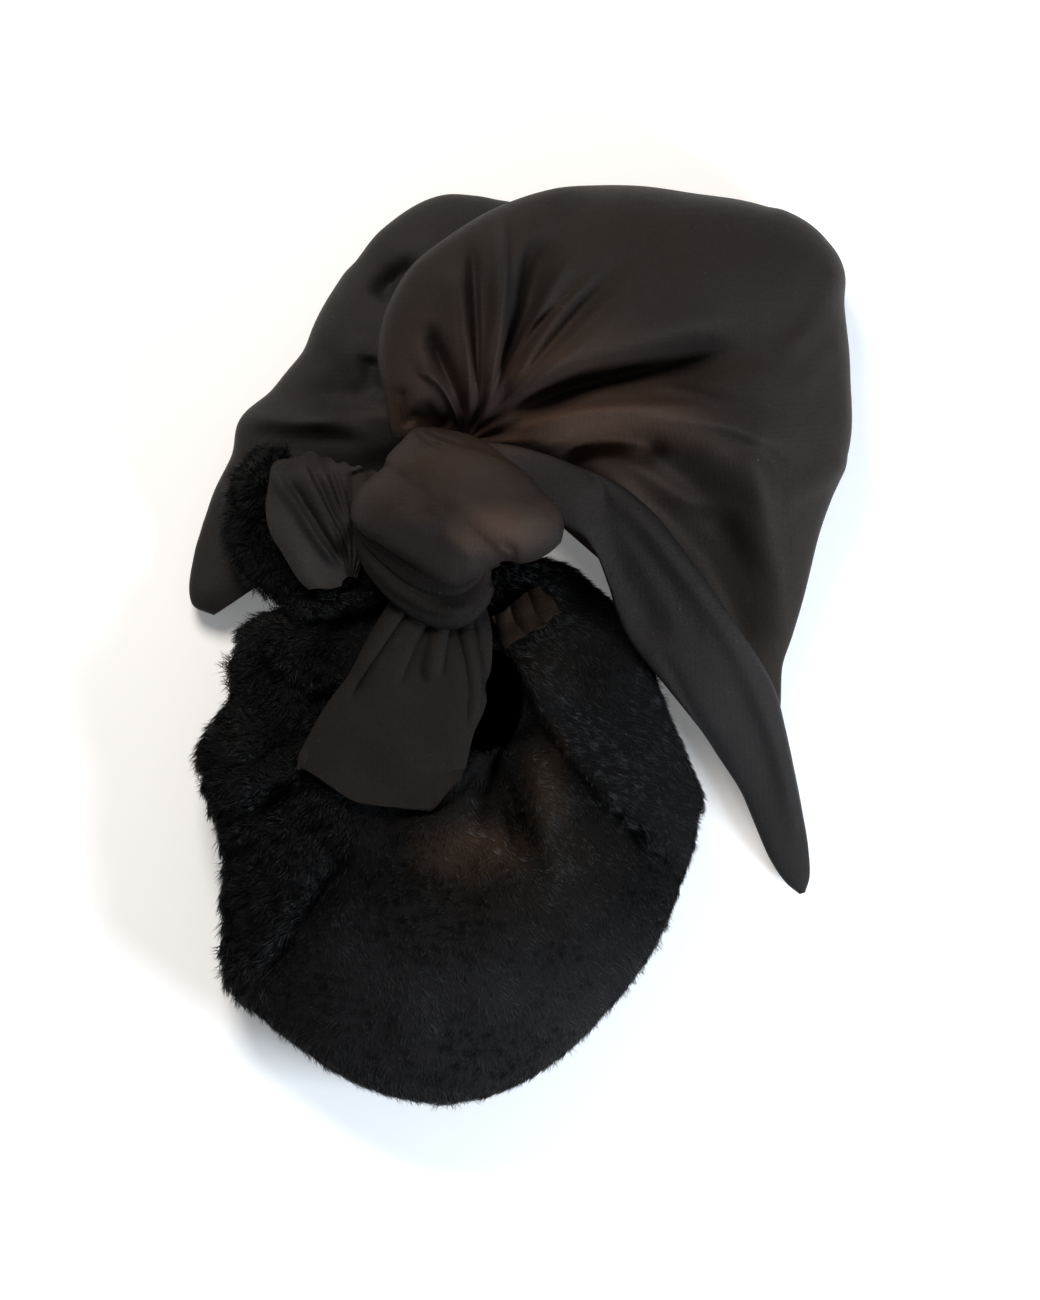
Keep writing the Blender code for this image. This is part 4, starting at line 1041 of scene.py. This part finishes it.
SATIN = satin("black_brown_satin", (0.008, 0.0068, 0.0062), (0.016, 0.0135, 0.0123), (0.046, 0.0262, 0.017))
COOL_SATIN = satin(
    "cool_black_satin", (0.0108, 0.0101, 0.0099), (0.0198, 0.0184, 0.018), (0.036, 0.0225, 0.0155), 0.6
)
TAIL_SATIN = satin(
    "tail_satin", (0.0084, 0.0083, 0.0087), (0.015, 0.0148, 0.0155), (0.034, 0.0215, 0.0155), 0.5, TAIL_SHADES
)
KNOT_SATIN = satin("knot_satin", (0.0085, 0.0078, 0.0074), (0.0155, 0.0138, 0.013), (0.038, 0.0225, 0.015), 0.7)
# The same satin made darker, as painted shade on the knot's under layers and the short tail
SATIN_IN_PAINTED_SHADE = satin(
    "black_satin_painted_shade", (0.0044, 0.0042, 0.0042), (0.0074, 0.007, 0.0069), (0.03, 0.019, 0.0135), 0.5
)
BROWN_SATIN = satin("warm_brown_satin", (0.01, 0.0066, 0.005), (0.018, 0.0108, 0.0072), (0.036, 0.0198, 0.0115))
FUR = fur_look("black_fur", (0.002, 0.002, 0.0021), (0.0054, 0.0053, 0.0054), (0.0076, 0.0076, 0.0078))
FUR_SKIN = fur_look("black_fur_skin", (0.002, 0.002, 0.0022), (0.004, 0.004, 0.0042))

# Satin
pouch = finish(gathered("satin_pouch", 370, 100, CROWN_OUTLINE, pouch_parts, crown_top, crown_lift), SATIN)
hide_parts("crown_front")
layer = gathered("satin_lower_layer", 180, 84, BACK_OUTLINE, layer_parts, back_top, back_lift)
finish(layer, COOL_SATIN)
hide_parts("crown_back")
wad = finish(knot_wad(), KNOT_SATIN)
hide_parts("knot_wrap")
under = finish(joined([
    strip(name, inside_edge(edge), 150, sides, 0.62, lies=False, lines=LAYER_LINES)
    for name, edge, sides in (("satin_knot_layers", LOWER_LAYER, 70), ("upper_layer", UPPER_LAYER, 50))
]), SATIN_IN_PAINTED_SHADE)
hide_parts("knot_under")
long_tail = finish(strip("satin_long_tail", LONG_TAIL, 260, 90, 0.66, lines=LONG_LINES), TAIL_SATIN)
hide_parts("tail_long")
short_tail = finish(spread_tail(), SATIN_IN_PAINTED_SHADE)
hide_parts("tail_short")
tab = finish(side_tab(), COOL_SATIN)
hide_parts("side_tab")
second_tab = finish(inner_tab(), BROWN_SATIN)
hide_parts("inner_tab")

# Fur
skin = hood_skin()
rng = np.random.default_rng(21)


def shaggy_share(x, y):
    return ramp(-beside(SHAGGY_SIDE, x, y)[0], -0.003, 0.006)


def hood_nap(roots):
    """The way the fur lies: out from the mouth, turned down the hood, and down the right-hand band along it."""
    x, y, _ = roots.T
    bearing, _ = around(x, y, HOOD_MIDDLE)
    outwards = np.stack(polar((0, 0), bearing, 1), axis=1)
    band, _ = beside(BAND_STEP[3:], x, y)
    in_band = ramp(band, -0.002, 0.004) * ramp(np.abs(bearing - 20), 100, 70)
    flow = outwards * 0.9 + np.array([[0.12, -1]]) * 0.55
    flow = flow * (1 - in_band)[:, None] + np.array([[0.72, -0.7]]) * in_band[:, None]
    swirl = waves(x, y, NAP_SWIRL)
    across, along = flow.T
    return unit(np.stack([
        across * np.cos(swirl) - along * np.sin(swirl), across * np.sin(swirl) + along * np.cos(swirl),
        np.zeros(len(x)),
    ], axis=1))


def roll_nap(roots):
    """Away from the tab and turned down."""
    return unit((roots - (*TAB_CORNER, 0) + (0.02, -0.02, 0)) * (1, 1, 0)) + (0.1, -0.6, 0)


def outside(z):
    """1 on the hood's upper side and its flanks, and 0 underneath."""
    return ramp(z, 0.004, 0.012)


short_fur = hairs(
    "fur_short_hair", SHORT_HAIR, skin, lambda x, y, z: outside(z) * (1 - shaggy_share(x, y)), hood_nap
)
shaggy_fur = hairs("fur_long_hair", SHAGGY_HAIR, skin, lambda x, y, z: outside(z) * shaggy_share(x, y), hood_nap)
finish(thicken(skin, SKIN_WALL), FUR_SKIN, angle=180)
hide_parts("fur_hood")

roll = strip("fur_roll_skin", FUR_ROLL, 60, 32, 1)
hairs("fur_roll_hair", ROLL_HAIR, roll, lambda x, y, z: ramp(z, 0.018, 0.024), roll_nap)
finish(roll, FUR_SKIN, angle=180)
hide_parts("fur_roll")

# Floor, light and camera
scene = bpy.context.scene
deselect()
bpy.ops.mesh.primitive_plane_add(size=4, location=(0, 0, -0.0002))
floor = bpy.context.object
floor.name = floor.data.name = "floor"
paper = Look("white_paper")
# The paper also glows faintly: painted light that lifts the shadows cast on the floor
paper.feed(paper.shader, {
    "Base Color": (0.93, 0.93, 0.93, 1), "Roughness": 0.9, "Specular IOR Level": 0.1,
    "Emission Color": (1, 1, 1, 1), "Emission Strength": 0.15,
})
floor.data.materials.append(paper.material)

world = bpy.data.worlds.new("soft_room")
scene.world = world
world.use_nodes = True
sky = world.node_tree.nodes["Background"].inputs
sky["Color"].default_value = (0.93, 0.97, 1, 1)
sky["Strength"].default_value = 0.24


def soft_light(name, place, size, power, colour):
    data = bpy.data.lights.new(name, "AREA")
    data.shape, data.size, data.energy, data.color = "DISK", size, power, colour
    light = bpy.data.objects.new(name, data)
    light.location = place
    light.rotation_euler = Vector(place).to_track_quat("Z", "Y").to_euler()
    scene.collection.objects.link(light)


soft_light("light_from_above_the_crown", (-0.42, 1.1, 1.3), 0.7, 28, (1, 0.93, 0.86))
soft_light("cool_light_from_the_right", (0.85, -0.52, 0.58), 0.5, 19, (0.8, 0.9, 1))

# The height of the picture in metres, at the height of the object's middle
VIEW_HEIGHT = 0.598
OBJECT_MIDDLE_HEIGHT = 0.035
CAMERA_HEIGHT = 4.05
SENSOR = 36
camera_data = bpy.data.cameras.new("camera")
camera_data.sensor_width = SENSOR
camera_data.lens = SENSOR * (CAMERA_HEIGHT - OBJECT_MIDDLE_HEIGHT) / VIEW_HEIGHT
camera = bpy.data.objects.new("camera", camera_data)
camera.location = (0, 0, CAMERA_HEIGHT)
scene.collection.objects.link(camera)
scene.camera = camera
scene.view_settings.view_transform = "Standard"
